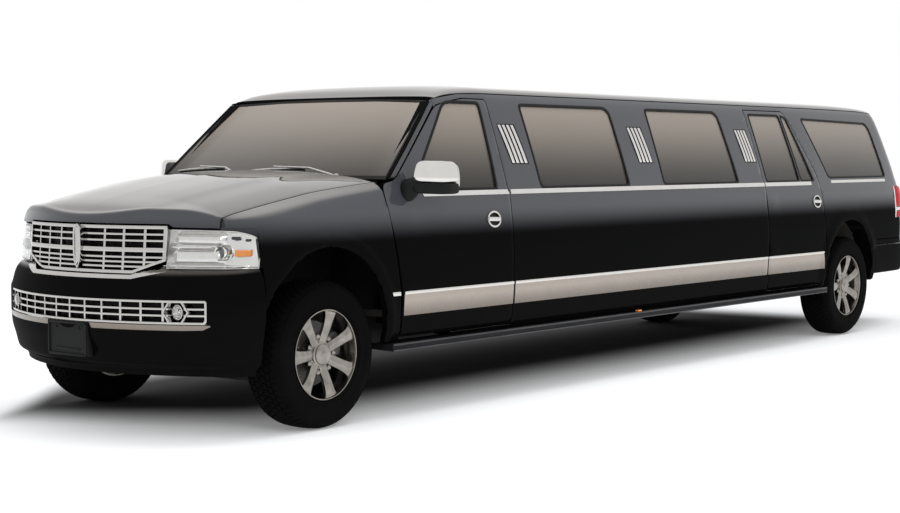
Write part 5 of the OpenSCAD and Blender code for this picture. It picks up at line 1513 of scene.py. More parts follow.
class LIMO_OT_louvres(bpy.types.Operator):
    """Makes the slanting chrome bars on the pillars between the windows"""

    bl_idname = "limo.louvres"
    bl_label = "Louvres"

    GROUPS = ((B_PILLAR - 0.081, 1.43, 0.174), (C_PILLAR + 1.716, 1.43, 0.178), (C_PILLAR + 0.232, 1.43, 0.172))

    def execute(self, context):
        bars = context.scene.limo_body.louvres
        tall = 0.235
        slant = 0.084
        parts = []
        plates = []
        for front, low, width in self.GROUPS:
            pitch = width / bars
            for i in range(bars):
                x1 = front - i * pitch
                x0 = x1 - pitch * 0.66
                rows = []
                for row in range(9):
                    v = row / 8
                    bulge = 0.007 * math.sin(math.pi * (0.08 + 0.84 * v)) ** 0.4
                    rows.append([(mix(x0, x1, u) + slant * v, low + tall * v,
                                  bulge + 0.006 * math.sin(math.pi * u) + 0.002) for u in (0, 0.25, 0.5, 0.75, 1)])

                def place(u, v, rows=rows):
                    x, z, out = rows[round(v * 8)][round(u * 4)]
                    return on_side(x, z, out)

                bm = laid_grid(4, 8, place)
                face_out(bm, Vector((0, 1, 0)))
                thicken(bm, 0.006)
                round_edges(bm, 0.0015)
                parts.append(bm)
            edge = 0.006
            # Dark plate behind each group of bars: painted shade between the bars.
            shade = [(front - width - edge, low - edge), (front - pitch * 0.1 + edge, low - edge),
                     (front - pitch * 0.1 + edge + slant, low + tall + edge), (front - width - edge + slant, low + tall + edge)]
            plates.append(side_panel(shade, [], None, 0.003, 0.004, 0.001, 0.05))
        both(join(*parts), "louvres_{}", "root", FINISHES["chrome"])
        both(join(*plates), "louvre_shade_plates_{}", "root", FINISHES["seal"])
        return {"FINISHED"}


def oval(cx, cz, wide, tall, steps=32):
    return [(cx + wide * math.cos(math.tau * i / steps), cz + tall * math.sin(math.tau * i / steps)) for i in range(steps)]


class LIMO_OT_handles(bpy.types.Operator):
    """Makes the door handles: a chrome ring, a dark cup and a bright grip"""

    bl_idname = "limo.handles"
    bl_label = "Door handles"

    def execute(self, context):
        for end, x, z in (("front", B_PILLAR + 0.197, 1.095), ("rear", REAR_DOOR + 0.103, 1.112)):
            ring = side_panel(oval(x, z, 0.066, 0.05), [oval(x, z, 0.055, 0.039)], None, 0.012, 0.012, 0.003, 0.02)
            cup = side_panel(oval(x, z, 0.056, 0.04), [], None, 0.0045, 0.004, 0.001, 0.02)
            grip = bmesh.new()
            y = side_y(x, z)
            box(grip, (x - 0.052, y + 0.014, z - 0.013), (x + 0.062, y + 0.032, z + 0.013), 8, 0)
            for v in grip.verts:
                s = (v.co.x - x) / 0.062
                v.co.y += 0.012 * (1 - s * s) - 0.012
                v.co.z += 0.002 * s
            round_edges(grip, 0.006, 3)
            both(join(ring, grip), f"handle_{end}_{{}}", f"door_{end}_{{}}", FINISHES["chrome"])
            both(cup, f"handle_cup_{end}_{{}}", f"door_{end}_{{}}", FINISHES["seal"])
        return {"FINISHED"}


class LIMO_OT_mirrors(bpy.types.Operator):
    """Makes the door mirrors: a chrome cap over a dark base, on a bulging arm"""

    bl_idname = "limo.mirrors"
    bl_label = "Mirrors"

    def shell(self, low, high, top_in=0.0):
        """Rounded housing in the mirror's own space: across, back and up, each from -1 to 1."""
        bm = bmesh.new()
        bmesh.ops.create_uvsphere(bm, u_segments=40, v_segments=24, radius=1)
        for v in bm.verts:
            c = [math.copysign(abs(n) ** 0.42, n) for n in v.co]
            x, y, z = c
            z = mix(low, high, (z + 1) / 2)
            shrink = 1 - top_in * max(0, z)
            v.co = (x * shrink, y * shrink, z)
        return bm

    def seat(self, bm, low, high):
        """Puts a housing into the space of the frame's mirror, drawn back at its outer end."""
        for v in bm.verts:
            x, y, z = v.co
            out = (y + 1) / 2
            depth = mix(0.5, 0.36, out) * (high.x - low.x)
            mid = mix(high.x - 0.075, low.x + 0.095, out)
            v.co = (mid + x * depth * 0.62, mix(low.y, high.y, out), mix(low.z, high.z, (z + 1) / 2) - 0.006 * out)

    def execute(self, context):
        low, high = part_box("mirror_left")
        low = Vector((low.x, HALF + 0.018, high.z - 0.19))
        cap = self.shell(-0.36, 1, 0.16)
        self.seat(cap, low, high)
        base = self.shell(-1, -0.3)
        self.seat(base, low, high)
        arm = self.make_arm(low, high)
        face = self.shell(-0.8, 0.85, 0.1)
        for v in face.verts:
            v.co = (v.co.x * 0.05 - 0.93, v.co.y * 0.9, v.co.z)
        self.seat(face, low, high)
        both(cap, "mirror_cap_{}", "door_front_{}", FINISHES["chrome"], ("mirror_{}",))
        both(join(base, arm), "mirror_base_{}", "door_front_{}", FINISHES["plastic"], ("mirror_{}",))
        both(face, "mirror_face_{}", "door_front_{}", FINISHES["reflector"], ("mirror_{}",))
        return {"FINISHED"}

    def make_arm(self, low, high):
        foot_x = high.x - 0.043
        foot_z = BELT + 0.002
        path = [(Vector((foot_x, side_y(foot_x, foot_z) - 0.004, foot_z)), 0.062), (Vector((foot_x, 0.975, foot_z)), 0.066),
                (Vector((foot_x - 0.002, 1.0, foot_z + 0.012)), 0.06), (Vector((foot_x - 0.008, 1.03, foot_z + 0.032)), 0.045),
                (Vector((foot_x - 0.02, 1.06, foot_z + 0.045)), 0.03)]
        bm = bmesh.new()
        rings = []
        for i, (spot, r) in enumerate(path):
            ring = []
            for k in range(24):
                a = math.tau * k / 24
                ring.append(bm.verts.new(spot + Vector((r * 0.92 * math.cos(a), 0, r * math.sin(a)))))
            rings.append(ring)
        for a, b in zip(rings, rings[1:]):
            for k in range(24):
                bm.faces.new((a[k], a[(k + 1) % 24], b[(k + 1) % 24], b[k]))
        bm.faces.new(rings[0][::-1])
        bm.faces.new(rings[-1])
        bmesh.ops.recalc_face_normals(bm, faces=bm.faces)
        return bm


def wrap(bm, front, side=HALF - 0.01):
    """Lays a flat front on the bowed nose. X starts as the distance ahead of the nose's surface."""
    for v in bm.verts:
        v.co.x += nose_x(v.co.y, front, side)
    bm.normal_update()
    return bm


def front_sheet(outline, holes, step=0.02):
    """Flat sheet in front view, in pairs of y and z."""
    ys = [p[0] for p in outline]
    zs = [p[1] for p in outline]
    y0, y1, z0, z1 = min(ys), max(ys), min(zs), max(zs)
    across = max(2, round((y1 - y0) / step))
    up = max(1, round((z1 - z0) / step))
    bm = laid_grid(across, up, lambda u, v: Vector((0, mix(y0, y1, u), mix(z0, z1, v))))
    face_out(bm, Vector((1, 0, 0)))
    cut(bm, outline, 0, True)
    for hole in holes:
        cut(bm, hole, 0, False)
    return bm


def front_plate(outline, holes, depth, edge, step=0.02):
    bm = front_sheet(outline, holes, step)
    thicken(bm, depth)
    round_edges(bm, edge)
    return bm


def tube(path, radius, sides=16, closed=False):
    """Round bar along a list of points."""
    bm = bmesh.new()
    rings = []
    n = len(path)
    for i, spot in enumerate(path):
        before = path[i - 1] if closed or i else path[i]
        after = path[(i + 1) % n] if closed or i < n - 1 else path[i]
        run = (Vector(after) - Vector(before)).normalized()
        side = run.cross(Vector((0, 0, 1)) if abs(run.z) < 0.9 else Vector((1, 0, 0))).normalized()
        top = side.cross(run)
        r = radius(i / (n - 1)) if callable(radius) else radius
        rings.append([bm.verts.new(Vector(spot) + side * (r * math.cos(math.tau * k / sides))
                                   + top * (r * math.sin(math.tau * k / sides))) for k in range(sides)])
    pairs = list(zip(rings, rings[1:])) + ([(rings[-1], rings[0])] if closed else [])
    for a, b in pairs:
        for k in range(sides):
            bm.faces.new((a[k], a[(k + 1) % sides], b[(k + 1) % sides], b[k]))
    if not closed:
        bm.faces.new(rings[0][::-1])
        bm.faces.new(rings[-1])
    bmesh.ops.recalc_face_normals(bm, faces=bm.faces)
    return bm


GRILLE_FOOT = 0.36
GRILLE_CUT = 0.068
GRILLE_MID = (GRILLE_LOW + 0.024 + GRILLE_TOP - 0.002) / 2


class LIMO_OT_grille(bpy.types.Operator):
    """Makes the chrome grille with its cut corners, its bare centre bar and the strip under it"""

    bl_idname = "limo.grille"
    bl_label = "Upper grille"

    LEAN = 0.018

    def reach(self, z):
        """Half width of the opening at a height."""
        foot = GRILLE_MID - 0.125
        share = min(max((z - foot) / GRILLE_CUT, 0), 1)
        return mix(GRILLE_FOOT, GRILLE_HALF, share)

    def execute(self, context):
        sizes = context.scene.limo_front
        foot = GRILLE_MID - 0.125
        top = GRILLE_MID + 0.125
        corner_z = foot + GRILLE_CUT
        centre = 0.052
        bm = bmesh.new()
        thin = sizes.bar
        high_rows = [mix(GRILLE_MID + 0.014, top - 0.012, i / 3) for i in (1, 2)]
        low_rows = [mix(GRILLE_MID - 0.014, foot + 0.012, i / 4) for i in (1, 2, 3)]
        for z in high_rows + low_rows:
            half = self.reach(z) - 0.01
            for side in (-1, 1):
                ends = sorted((side * 0.026, side * half))
                box(bm, (-0.034, ends[0], z - thin / 2), (-0.006, ends[1], z + thin / 2), 14, 1)
        for z, tall, ahead in ((GRILLE_MID, 0.024, 0.004), (top - 0.008, 0.018, 0.0), (foot + 0.009, 0.018, 0.0)):
            half = self.reach(z) - 0.006
            box(bm, (-0.04, -half, z - tall / 2), (ahead, half, z + tall / 2), 28, 1)
        pitch = (GRILLE_HALF - centre) / sizes.columns
        for side in (-1, 1):
            for i in range(1, sizes.columns):
                y = side * (centre + i * pitch)
                low = foot + 0.004 + max(0, abs(y) - GRILLE_FOOT) / (GRILLE_HALF - GRILLE_FOOT) * GRILLE_CUT
                box(bm, (-0.042, y - thin * 0.62, low), (-0.012, y + thin * 0.62, top - 0.006), 1, 2)
        round_edges(bm, 0.0028, 2)
        rim_wide = 0.014
        outer = [(-GRILLE_FOOT, foot), (GRILLE_FOOT, foot), (GRILLE_HALF, corner_z), (GRILLE_HALF, top), (-GRILLE_HALF, top),
                 (-GRILLE_HALF, corner_z)]
        rim = front_plate(outer, [offset(outer, -rim_wide)], 0.044, 0.003)
        whole = join(bm, rim)
        for v in whole.verts:
            v.co.x += self.LEAN * (1 - min(max((v.co.z - foot) / (top - foot), 0), 1))
        wrap(whole, GRILLE_X)
        shelf = front_plate([(-GRILLE_FOOT + 0.01, foot + 0.002), (GRILLE_FOOT - 0.01, foot + 0.002),
                             (GRILLE_FOOT - 0.01, foot + 0.008), (-GRILLE_FOOT + 0.01, foot + 0.008)], [], 0.2, 0.001, 0.03)
        wrap(shelf, GRILLE_X - 0.02)
        piece(join(whole, self.centre_bar(foot, top), shelf), "grille_chrome", "root", FINISHES["grille"],
              ("grille",), 35)
        # Near-black backing, partly painted shade of the opening behind the bars.
        back = front_plate(offset(outer, -0.01), [], 0.004, 0.0005, 0.04)
        wrap(back, GRILLE_X - 0.058)
        piece(back, "grille_backing", "root", FINISHES["void"])
        piece(self.under_strip(foot), "grille_under_strip", "root", FINISHES["grille"], ("grille",), 35)
        return {"FINISHED"}

    def centre_bar(self, foot, top):
        """Broad upright with pointed ends and a ridge, left bare."""
        low, high = foot + 0.016, top + 0.004
        points = [(0.0, low), (0.024, low + 0.04), (0.03, low + 0.1), (0.03, high - 0.06), (0.025, high - 0.02), (0.0, high)]
        outline = points + [(-y, z) for y, z in points[-2:0:-1]]
        frame_part = front_plate(outline, [offset(outline, -0.011)], 0.05, 0.003, 0.01)
        core = front_sheet(offset(outline, -0.010), [], 0.005)
        for v in core.verts:
            v.co.x = 0.006 - abs(v.co.y) * 0.5
        thicken(core, 0.03)
        whole = join(frame_part, core)
        bmesh.ops.translate(whole, vec=(0.014, 0, 0), verts=whole.verts)
        return wrap(whole, GRILLE_X + self.LEAN * 0.5)

    def under_strip(self, foot):
        """Bright strip on the bumper along the grille's lower edge."""
        low = foot - 0.024
        right = [(0.395, low), (0.552, SHELF - 0.018), (0.552, SHELF + 0.006), (0.508, SHELF + 0.006), (0.38, foot - 0.004)]
        outline = right + [(-y, z) for y, z in reversed(right)]
        bm = front_sheet(outline, [], 0.012)
        for v in bm.verts:
            v.co.x = 0.007 - bumper_back(min(v.co.z, BUMPER_ROWS[-1][0]))
        wrap(bm, NOSE, HALF - 0.012)
        thicken(bm, 0.012)
        round_edges(bm, 0.004, 3, 40)
        return bm


class LIMO_OT_lower_grille(bpy.types.Operator):
    """Makes the lower chrome grille, the fog lamps in it and the silver strip below it"""

    bl_idname = "limo.lower_grille"
    bl_label = "Lower grille"

    FOG_Y = 0.642

    def execute(self, context):
        sizes = context.scene.limo_front
        low, high, half = LOW_GRILLE_LOW, LOW_GRILLE_TOP, LOW_GRILLE_HALF
        mid = (low + high) / 2
        thin = sizes.bar
        outer = [(-half, low + 0.02), (-half + 0.012, low), (half - 0.012, low), (half, low + 0.02), (half, high - 0.014),
                 (half - 0.008, high), (-half + 0.008, high), (-half, high - 0.014)]
        rim = front_plate(outer, [offset(outer, -0.013)], 0.05, 0.003, 0.03)
        bm = bmesh.new()
        for i in (1, 2):
            z = mix(low + 0.012, high - 0.012, i / 3)
            for y0, y1, cuts in ((-0.585, 0.585, 34), (0.7, half - 0.006, 4), (-half + 0.006, -0.7, 4)):
                box(bm, (-0.036, y0 - 0.02, z - thin / 2), (-0.006, y1 + 0.02, z + thin / 2), cuts, 1)
        count = 2 * sizes.low_columns
        for i in range(count + 1):
            y = mix(-0.575, 0.575, i / count)
            box(bm, (-0.042, y - thin / 2, low + 0.006), (-0.01, y + thin / 2, high - 0.006), 1, 2)
        round_edges(bm, 0.0025, 2)
        parts = [rim, bm]
        for side in (-1, 1):
            y = side * self.FOG_Y
            hexagon = [(y - 0.064, mid), (y - 0.032, low + 0.006), (y + 0.032, low + 0.006), (y + 0.064, mid),
                       (y + 0.032, high - 0.006), (y - 0.032, high - 0.006)]
            parts.append(front_plate(hexagon, [offset(hexagon, -0.007)], 0.05, 0.002, 0.01))
        whole = wrap(join(*parts), NOSE - 0.006)
        piece(whole, "lower_grille_chrome", "root", FINISHES["grille"], ("lower_grille",), 35)
        # Near-black backing, partly painted shade of the opening behind the bars.
        back = front_plate(offset(outer, -0.008), [], 0.004, 0.0005, 0.05)
        piece(wrap(back, NOSE - 0.062), "lower_grille_backing", "root", FINISHES["void"])
        self.fog_lamps(mid)
        self.silver_strip()
        return {"FINISHED"}

    def fog_lamps(self, mid):
        bowls = []
        lenses = []
        for side in (-1, 1):
            y = side * self.FOG_Y
            place = Vector((nose_x(y, NOSE) - 0.01, y, mid))
            bowls.append(lathe([(0.0, -0.05), (0.012, -0.05), (0.024, -0.042), (0.032, -0.028), (0.036, -0.014), (0.039, -0.014),
                                (0.039, -0.055), (0.0, -0.055)], 36, place, (1, 0, 0)))
            bowls.append(lathe([(0.0, -0.022), (0.008, -0.024), (0.012, -0.032), (0.012, -0.05), (0.0, -0.05)], 20, place,
                               (1, 0, 0)))
            lenses.append(lathe([(0.0, -0.004), (0.018, -0.006), (0.03, -0.01), (0.036, -0.015), (0.036, -0.019),
                                 (0.029, -0.014), (0.017, -0.01), (0.0, -0.008)], 36, place, (1, 0, 0)))
        piece(join(*bowls), "fog_lamp_bowls", "root", FINISHES["reflector"], ("lower_grille",))
        piece(join(*lenses), "fog_lamp_lenses", "root", FINISHES["lens"], ("lower_grille",))

    def silver_strip(self):
        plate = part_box("plate_bracket")
        low, high = 0.578, LOW_GRILLE_LOW - 0.002
        inner = plate[1].y + 0.012
        outline = [(inner, low + 0.002), (inner + 0.02, low), (0.768, low), (0.808, high - 0.006), (0.806, high), (inner, high)]
        parts = []
        for side in (1, -1):
            shape = [(side * y, z) for y, z in outline]
            if side < 0:
                shape.reverse()
            bm = front_plate(shape, [], 0.01, 0.003, 0.02)
            for v in bm.verts:
                v.co.x += 0.006 - 0.0044 * (1 - (v.co.z - low) / (high - low))
            parts.append(wrap(bm, NOSE - 0.002, HALF - 0.012))
        piece(join(*parts), "bumper_strip", "root", FINISHES["strip"])


lamp_line = through([(LAMP_IN, 1.096), (0.83, 1.09), (0.88, 1.078), (0.915, 1.058), (LAMP_OUT, 1.02)])


class LIMO_OT_headlamps(bpy.types.Operator):
    """Makes the headlamps: a bright bowl with two tubes and a projector behind a clear cover"""

    bl_idname = "limo.headlamps"
    bl_label = "Headlamps"

    LEAN = 0.16

    def spot(self, y, z, back):
        ease = min(max((y - 0.8) / 0.12, 0), 1)
        ahead = 0.016 * (1 - ease * ease * (3 - 2 * ease))
        return Vector((nose_x(y, GRILLE_X + ahead - self.LEAN * (z - SHELF)) - back, y, z))

    def sheet(self, across, up, back, inset=0.0):
        """Sheet over the lamp's outline. back(u, v) is its depth behind the cover."""
        def place(u, v):
            y = mix(LAMP_IN + inset, LAMP_OUT - inset, u)
            z = mix(SHELF + 0.001 + inset, lamp_line(y) - 0.004 - inset, v)
            return self.spot(y, z, back(u, v))

        bm = laid_grid(across, up, place)
        face_out(bm, Vector((1, 0, 0)))
        return bm

    def bowl_depth(self, u, v):
        """Depth of the bowl: steep at the rim, with two long troughs in its inner half."""
        rim = min(u / 0.02, (1 - u) / 0.03, v / 0.07, (1 - v) / 0.07, 1)
        depth = 0.066 - 0.045 * max(0, (u - 0.62) / 0.38)
        if u < 0.62:
            for middle_v, tall in ((0.29, 0.2), (0.76, 0.15)):
                d = abs(v - middle_v) / tall
                if d < 1:
                    depth -= 0.026 * math.sqrt(1 - d * d) * min(1, (0.62 - u) / 0.05) * min(1, u / 0.05)
        return 0.007 + (depth - 0.007) * rim ** 0.5

    def execute(self, context):
        cover = self.sheet(40, 16, lambda u, v: 0.0)
        thicken(cover, 0.003)
        round_edges(cover, 0.0015)
        both(cover, "headlamp_cover_{}", "root", FINISHES["lens"], ("headlamps",))
        bowl = self.sheet(110, 44, self.bowl_depth, 0.0015)
        thicken(bowl, 0.003)
        both(bowl, "headlamp_bowl_{}", "root", FINISHES["reflector"], ("headlamps",), 50)
        surround = laid_grid(16, 3, lambda u, v: self.spot(
            mix(0.79, 0.938, u), mix(lamp_line(mix(0.79, 0.938, u)) + 0.002, 1.104, v), 0.001))
        face_out(surround, Vector((1, 0, 0)))
        thicken(surround, 0.01)
        both(surround, "lamp_surround_{}", "root", FINISHES["paint"])
        filler = laid_grid(8, 6, lambda u, v: self.spot(mix(0.75, 0.86, u), mix(1.096, 1.146, v), 0.024))
        face_out(filler, Vector((1, 0, 0)))
        thicken(filler, 0.008)
        both(filler, "nose_filler_{}", "root", FINISHES["paint"])
        self.make_projector()
        self.make_marker()
        self.make_details()
        return {"FINISHED"}

    def make_projector(self):
        y, z = 0.782, 0.974
        place = self.spot(y, z, 0.05)
        ring = lathe([(0.03, 0.0), (0.032, 0.026), (0.037, 0.03), (0.042, 0.026), (0.044, 0.0), (0.044, -0.02), (0.03, -0.02)],
                     40, place, (1, 0, 0))
        lens = lathe([(0.0, 0.018), (0.012, 0.0165), (0.023, 0.011), (0.031, 0.0), (0.031, -0.008), (0.0, -0.008)],
                     32, place, (1, 0, 0))
        both(ring, "headlamp_ring_{}", "root", FINISHES["chrome"], ("headlamps",))
        both(lens, "headlamp_projector_{}", "root", FINISHES["projector"], ("headlamps",))

    def make_marker(self):
        """Amber block at the outer end."""
        bm = bmesh.new()
        box(bm, (-0.03, 0.848, 0.956), (-0.008, 0.902, 0.99), 6, 1)
        round_edges(bm, 0.004, 2)
        for v in bm.verts:
            v.co = self.spot(v.co.y, v.co.z, -v.co.x)
        both(bm, "headlamp_marker_{}", "root", FINISHES["amber"], ("headlamps",))

    def make_details(self):
        """Bezel between the two halves and the small dark shapes above the marker."""
        bm = bmesh.new()
        for y0, y1, z0, z1, depth in ((0.52, 0.74, 0.998, 1.006, 0.03), (0.52, 0.9, 0.903, 0.909, 0.02)):
            box(bm, (-depth - 0.012, y0, z0), (-depth, y1, z1), 8, 1)
        round_edges(bm, 0.003, 2)
        for v in bm.verts:
            v.co = self.spot(v.co.y, v.co.z, -v.co.x)
        both(bm, "headlamp_bezel_{}", "root", FINISHES["chrome"], ("headlamps",))
        dark = bmesh.new()
        for y0, y1, z0, z1 in ((0.828, 0.858, 1.042, 1.058), (0.878, 0.896, 1.034, 1.046)):
            box(dark, (-0.024, y0, z0), (-0.012, y1, z1), 2, 1)
        round_edges(dark, 0.004, 2)
        for v in dark.verts:
            v.co = self.spot(v.co.y, v.co.z, -v.co.x)
        both(dark, "headlamp_shades_{}", "root", FINISHES["plastic"], ("headlamps",))


class LIMO_OT_tail_lamps(bpy.types.Operator):
    """Makes the red tail lamps that wrap the rear corners"""

    bl_idname = "limo.tail_lamps"
    bl_label = "Tail lamps"

    def place(self, u, v, proud):
        """From the inner edge on the tail to the front edge on the side."""
        z = mix(LAMP_LOW + 0.002, LAMP_TOP - 0.002, v)
        start = math.radians(44)
        reach = LAMP_SIDE - 0.002 - tail_x(z)
        arc = CORNER_R * (math.pi / 2 - start)
        straight = reach - CORNER_R
        run = u * (arc + straight)
        edge = body_plan(LAMP_SIDE) - side_inset(z)
        if run < arc:
            a = start + run / CORNER_R
            return Vector((tail_x(z) + CORNER_R * (1 - math.cos(a)) - proud * math.cos(a),
                           edge - CORNER_R * (1 - math.sin(a)) + proud * math.sin(a), z))
        return Vector((tail_x(z) + CORNER_R + run - arc, edge + proud, z))

    def sheet(self, u0, u1, v0, v1, proud, depth, across=28, up=24):
        bm = laid_grid(across, up, lambda u, v: self.place(
            mix(u0, u1, u), mix(v0, v1, v), proud - 0.006 * (1 - min(1, 6 * min(u, 1 - u, v, 1 - v)))))
        face_out(bm, Vector((-1, 1, 0)))
        thicken(bm, depth)
        round_edges(bm, 0.002)
        return bm

    def execute(self, context):
        red = join(self.sheet(0.03, 0.93, 0.34, 0.985, 0.012, 0.008), self.sheet(0.03, 0.93, 0.015, 0.2, 0.012, 0.008))
        both(red, "tail_lamp_red_{}", "root", FINISHES["red"], ("tail_lamps",))
        pale = self.sheet(0.03, 0.93, 0.215, 0.325, 0.011, 0.007)
        both(pale, "tail_lamp_pale_{}", "root", FINISHES["pale"], ("tail_lamps",))
        edge = self.sheet(0.94, 1.0, 0.0, 1.0, 0.01, 0.008, 3)
        both(edge, "tail_lamp_edge_{}", "root", FINISHES["pale"], ("tail_lamps",))
        back = self.sheet(0.0, 1.0, 0.0, 1.0, 0.002, 0.006)
        both(back, "tail_lamp_bed_{}", "root", FINISHES["seal"], ("tail_lamps",))
        return {"FINISHED"}
class LIMO_OT_wheels(bpy.types.Operator):
    """Makes the chrome wheels: barrel, spokes, hub, nuts, cap and valve, with the brake discs behind them"""

    bl_idname = "limo.wheels"
    bl_label = "Wheels"

    def execute(self, context):
        sizes = context.scene.limo_wheels
        for name, hub in (("front", FRONT_HUB), ("rear", REAR_HUB)):
            wheel = join(self.barrel(sizes.rim), *self.spokes(sizes), *self.hub(sizes))
            bmesh.ops.translate(wheel, vec=hub, verts=wheel.verts)
            both(wheel, f"alloy_{name}_{{}}", f"wheel_{name}_{{}}", FINISHES["wheel"], (f"wheel_{name}_{{}}",), 28)
            both(self.disc(hub), f"brake_disc_{name}_{{}}", f"wheel_{name}_{{}}", FINISHES["iron"],
                 (f"wheel_{name}_{{}}",))
            holder = "knuckle_{}" if name == "front" else "root"
            both(self.caliper(hub), f"caliper_{name}_{{}}", holder, FINISHES["iron"])
        return {"FINISHED"}

    def barrel(self, rim):
        out = TYRE_W / 2
        return lathe([(rim - 0.001, -out + 0.012), (rim, -out + 0.018), (rim, out - 0.016), (rim - 0.0005, out - 0.0105),
                      (rim - 0.003, out - 0.009), (rim - 0.0065, out - 0.0105), (rim - 0.0085, out - 0.016),
                      (rim - 0.0105, out - 0.028), (rim - 0.018, out - 0.046), (rim - 0.024, out - 0.075),
                      (rim - 0.0255, -out + 0.05), (rim - 0.012, -out + 0.02), (rim - 0.008, -out + 0.012)],
                     96, (0, 0, 0))

    def spokes(self, sizes):
        """Broad flat spokes that lean out from the hub to the lip."""
        out = TYRE_W / 2
        half = through([(0.05, 0.03), (0.09, 0.031), (0.12, 0.031), (0.17, 0.033), (0.21, 0.038), (0.24, 0.05)])
        level = through([(0.05, out - 0.047), (0.09, out - 0.041), (0.14, out - 0.029), (0.2, out - 0.02),
                         (sizes.rim - 0.008, out - 0.017)])
        made = []
        for i in range(sizes.spokes):
            turn = Matrix.Rotation(math.tau * i / sizes.spokes, 3, "Y")

            def place(u, v, turn=turn):
                r = mix(0.052, sizes.rim - 0.009, v)
                s = 2 * u - 1
                out_by = level(r) - 0.005 * abs(s) ** 3 + 0.0015 * math.cos(s * math.pi)
                return turn @ Vector((r, out_by, s * half(r)))

            bm = laid_grid(8, 16, place)
            face_out(bm, Vector((0, 1, 0)))
            thicken(bm, 0.034)
            round_edges(bm, 0.004, 3)
            made.append(bm)
        return made

    def hub(self, sizes):
        out = TYRE_W / 2
        made = [
            lathe([(0.0, out - 0.05), (0.07, out - 0.05), (0.082, out - 0.054), (0.092, out - 0.062), (0.1, out - 0.078),
                   (0.1, out - 0.105), (0.03, out - 0.105), (0.0, out - 0.1)], 56, (0, 0, 0)),
            lathe([(0.0, out - 0.027), (0.044, out - 0.028), (0.054, out - 0.03), (0.058, out - 0.034), (0.059, out - 0.04),
                   (0.066, out - 0.041), (0.0705, out - 0.044), (0.072, out - 0.06), (0.0, out - 0.06)], 56, (0, 0, 0)),
            lathe([(0.0, out - 0.0245), (0.018, out - 0.025), (0.021, out - 0.0262), (0.022, out - 0.03), (0.0, out - 0.03)],
                  40, (0, 0, 0))]
        for i in range(sizes.spokes):
            a = math.tau * (i + 0.5) / sizes.spokes
            spot = Vector((math.cos(a) * 0.1, out - 0.078, -math.sin(a) * 0.1))
            made.append(lathe([(0.0, 0.036), (0.008, 0.0345), (0.014, 0.029), (0.0165, 0.02), (0.0165, 0.0), (0.0, 0.0)], 14,
                              spot))
        valve = tube([Vector((sizes.rim - 0.026, out - 0.05, 0.06)), Vector((sizes.rim - 0.045, out - 0.024, 0.056))], 0.004, 8)
        made.append(valve)
        return made

    def disc(self, hub):
        bm = lathe([(0.07, -0.026), (0.076, -0.014), (0.08, -0.01), (0.178, -0.01), (0.178, -0.003), (0.174, -0.003),
                    (0.174, 0.003), (0.178, 0.003), (0.178, 0.01), (0.082, 0.01), (0.076, 0.024), (0.066, 0.026)], 72, hub)
        return bm

    def caliper(self, hub):
        bm = bmesh.new()
        for low, high in (((-0.065, 0.014, -0.02), (0.065, 0.044, 0.045)), ((-0.065, -0.06, -0.02), (0.065, -0.014, 0.045)),
                          ((-0.055, -0.05, 0.038), (0.055, 0.04, 0.056))):
            box(bm, low, high, 6, 0)
        round_edges(bm, 0.006, 2)
        turn = Matrix.Rotation(math.radians(-75), 3, "Y")
        for v in bm.verts:
            bend = v.co.x * v.co.x * 2.2
            v.co = turn @ Vector((v.co.x, v.co.y, 0.147 + v.co.z - bend)) + hub
        return bm


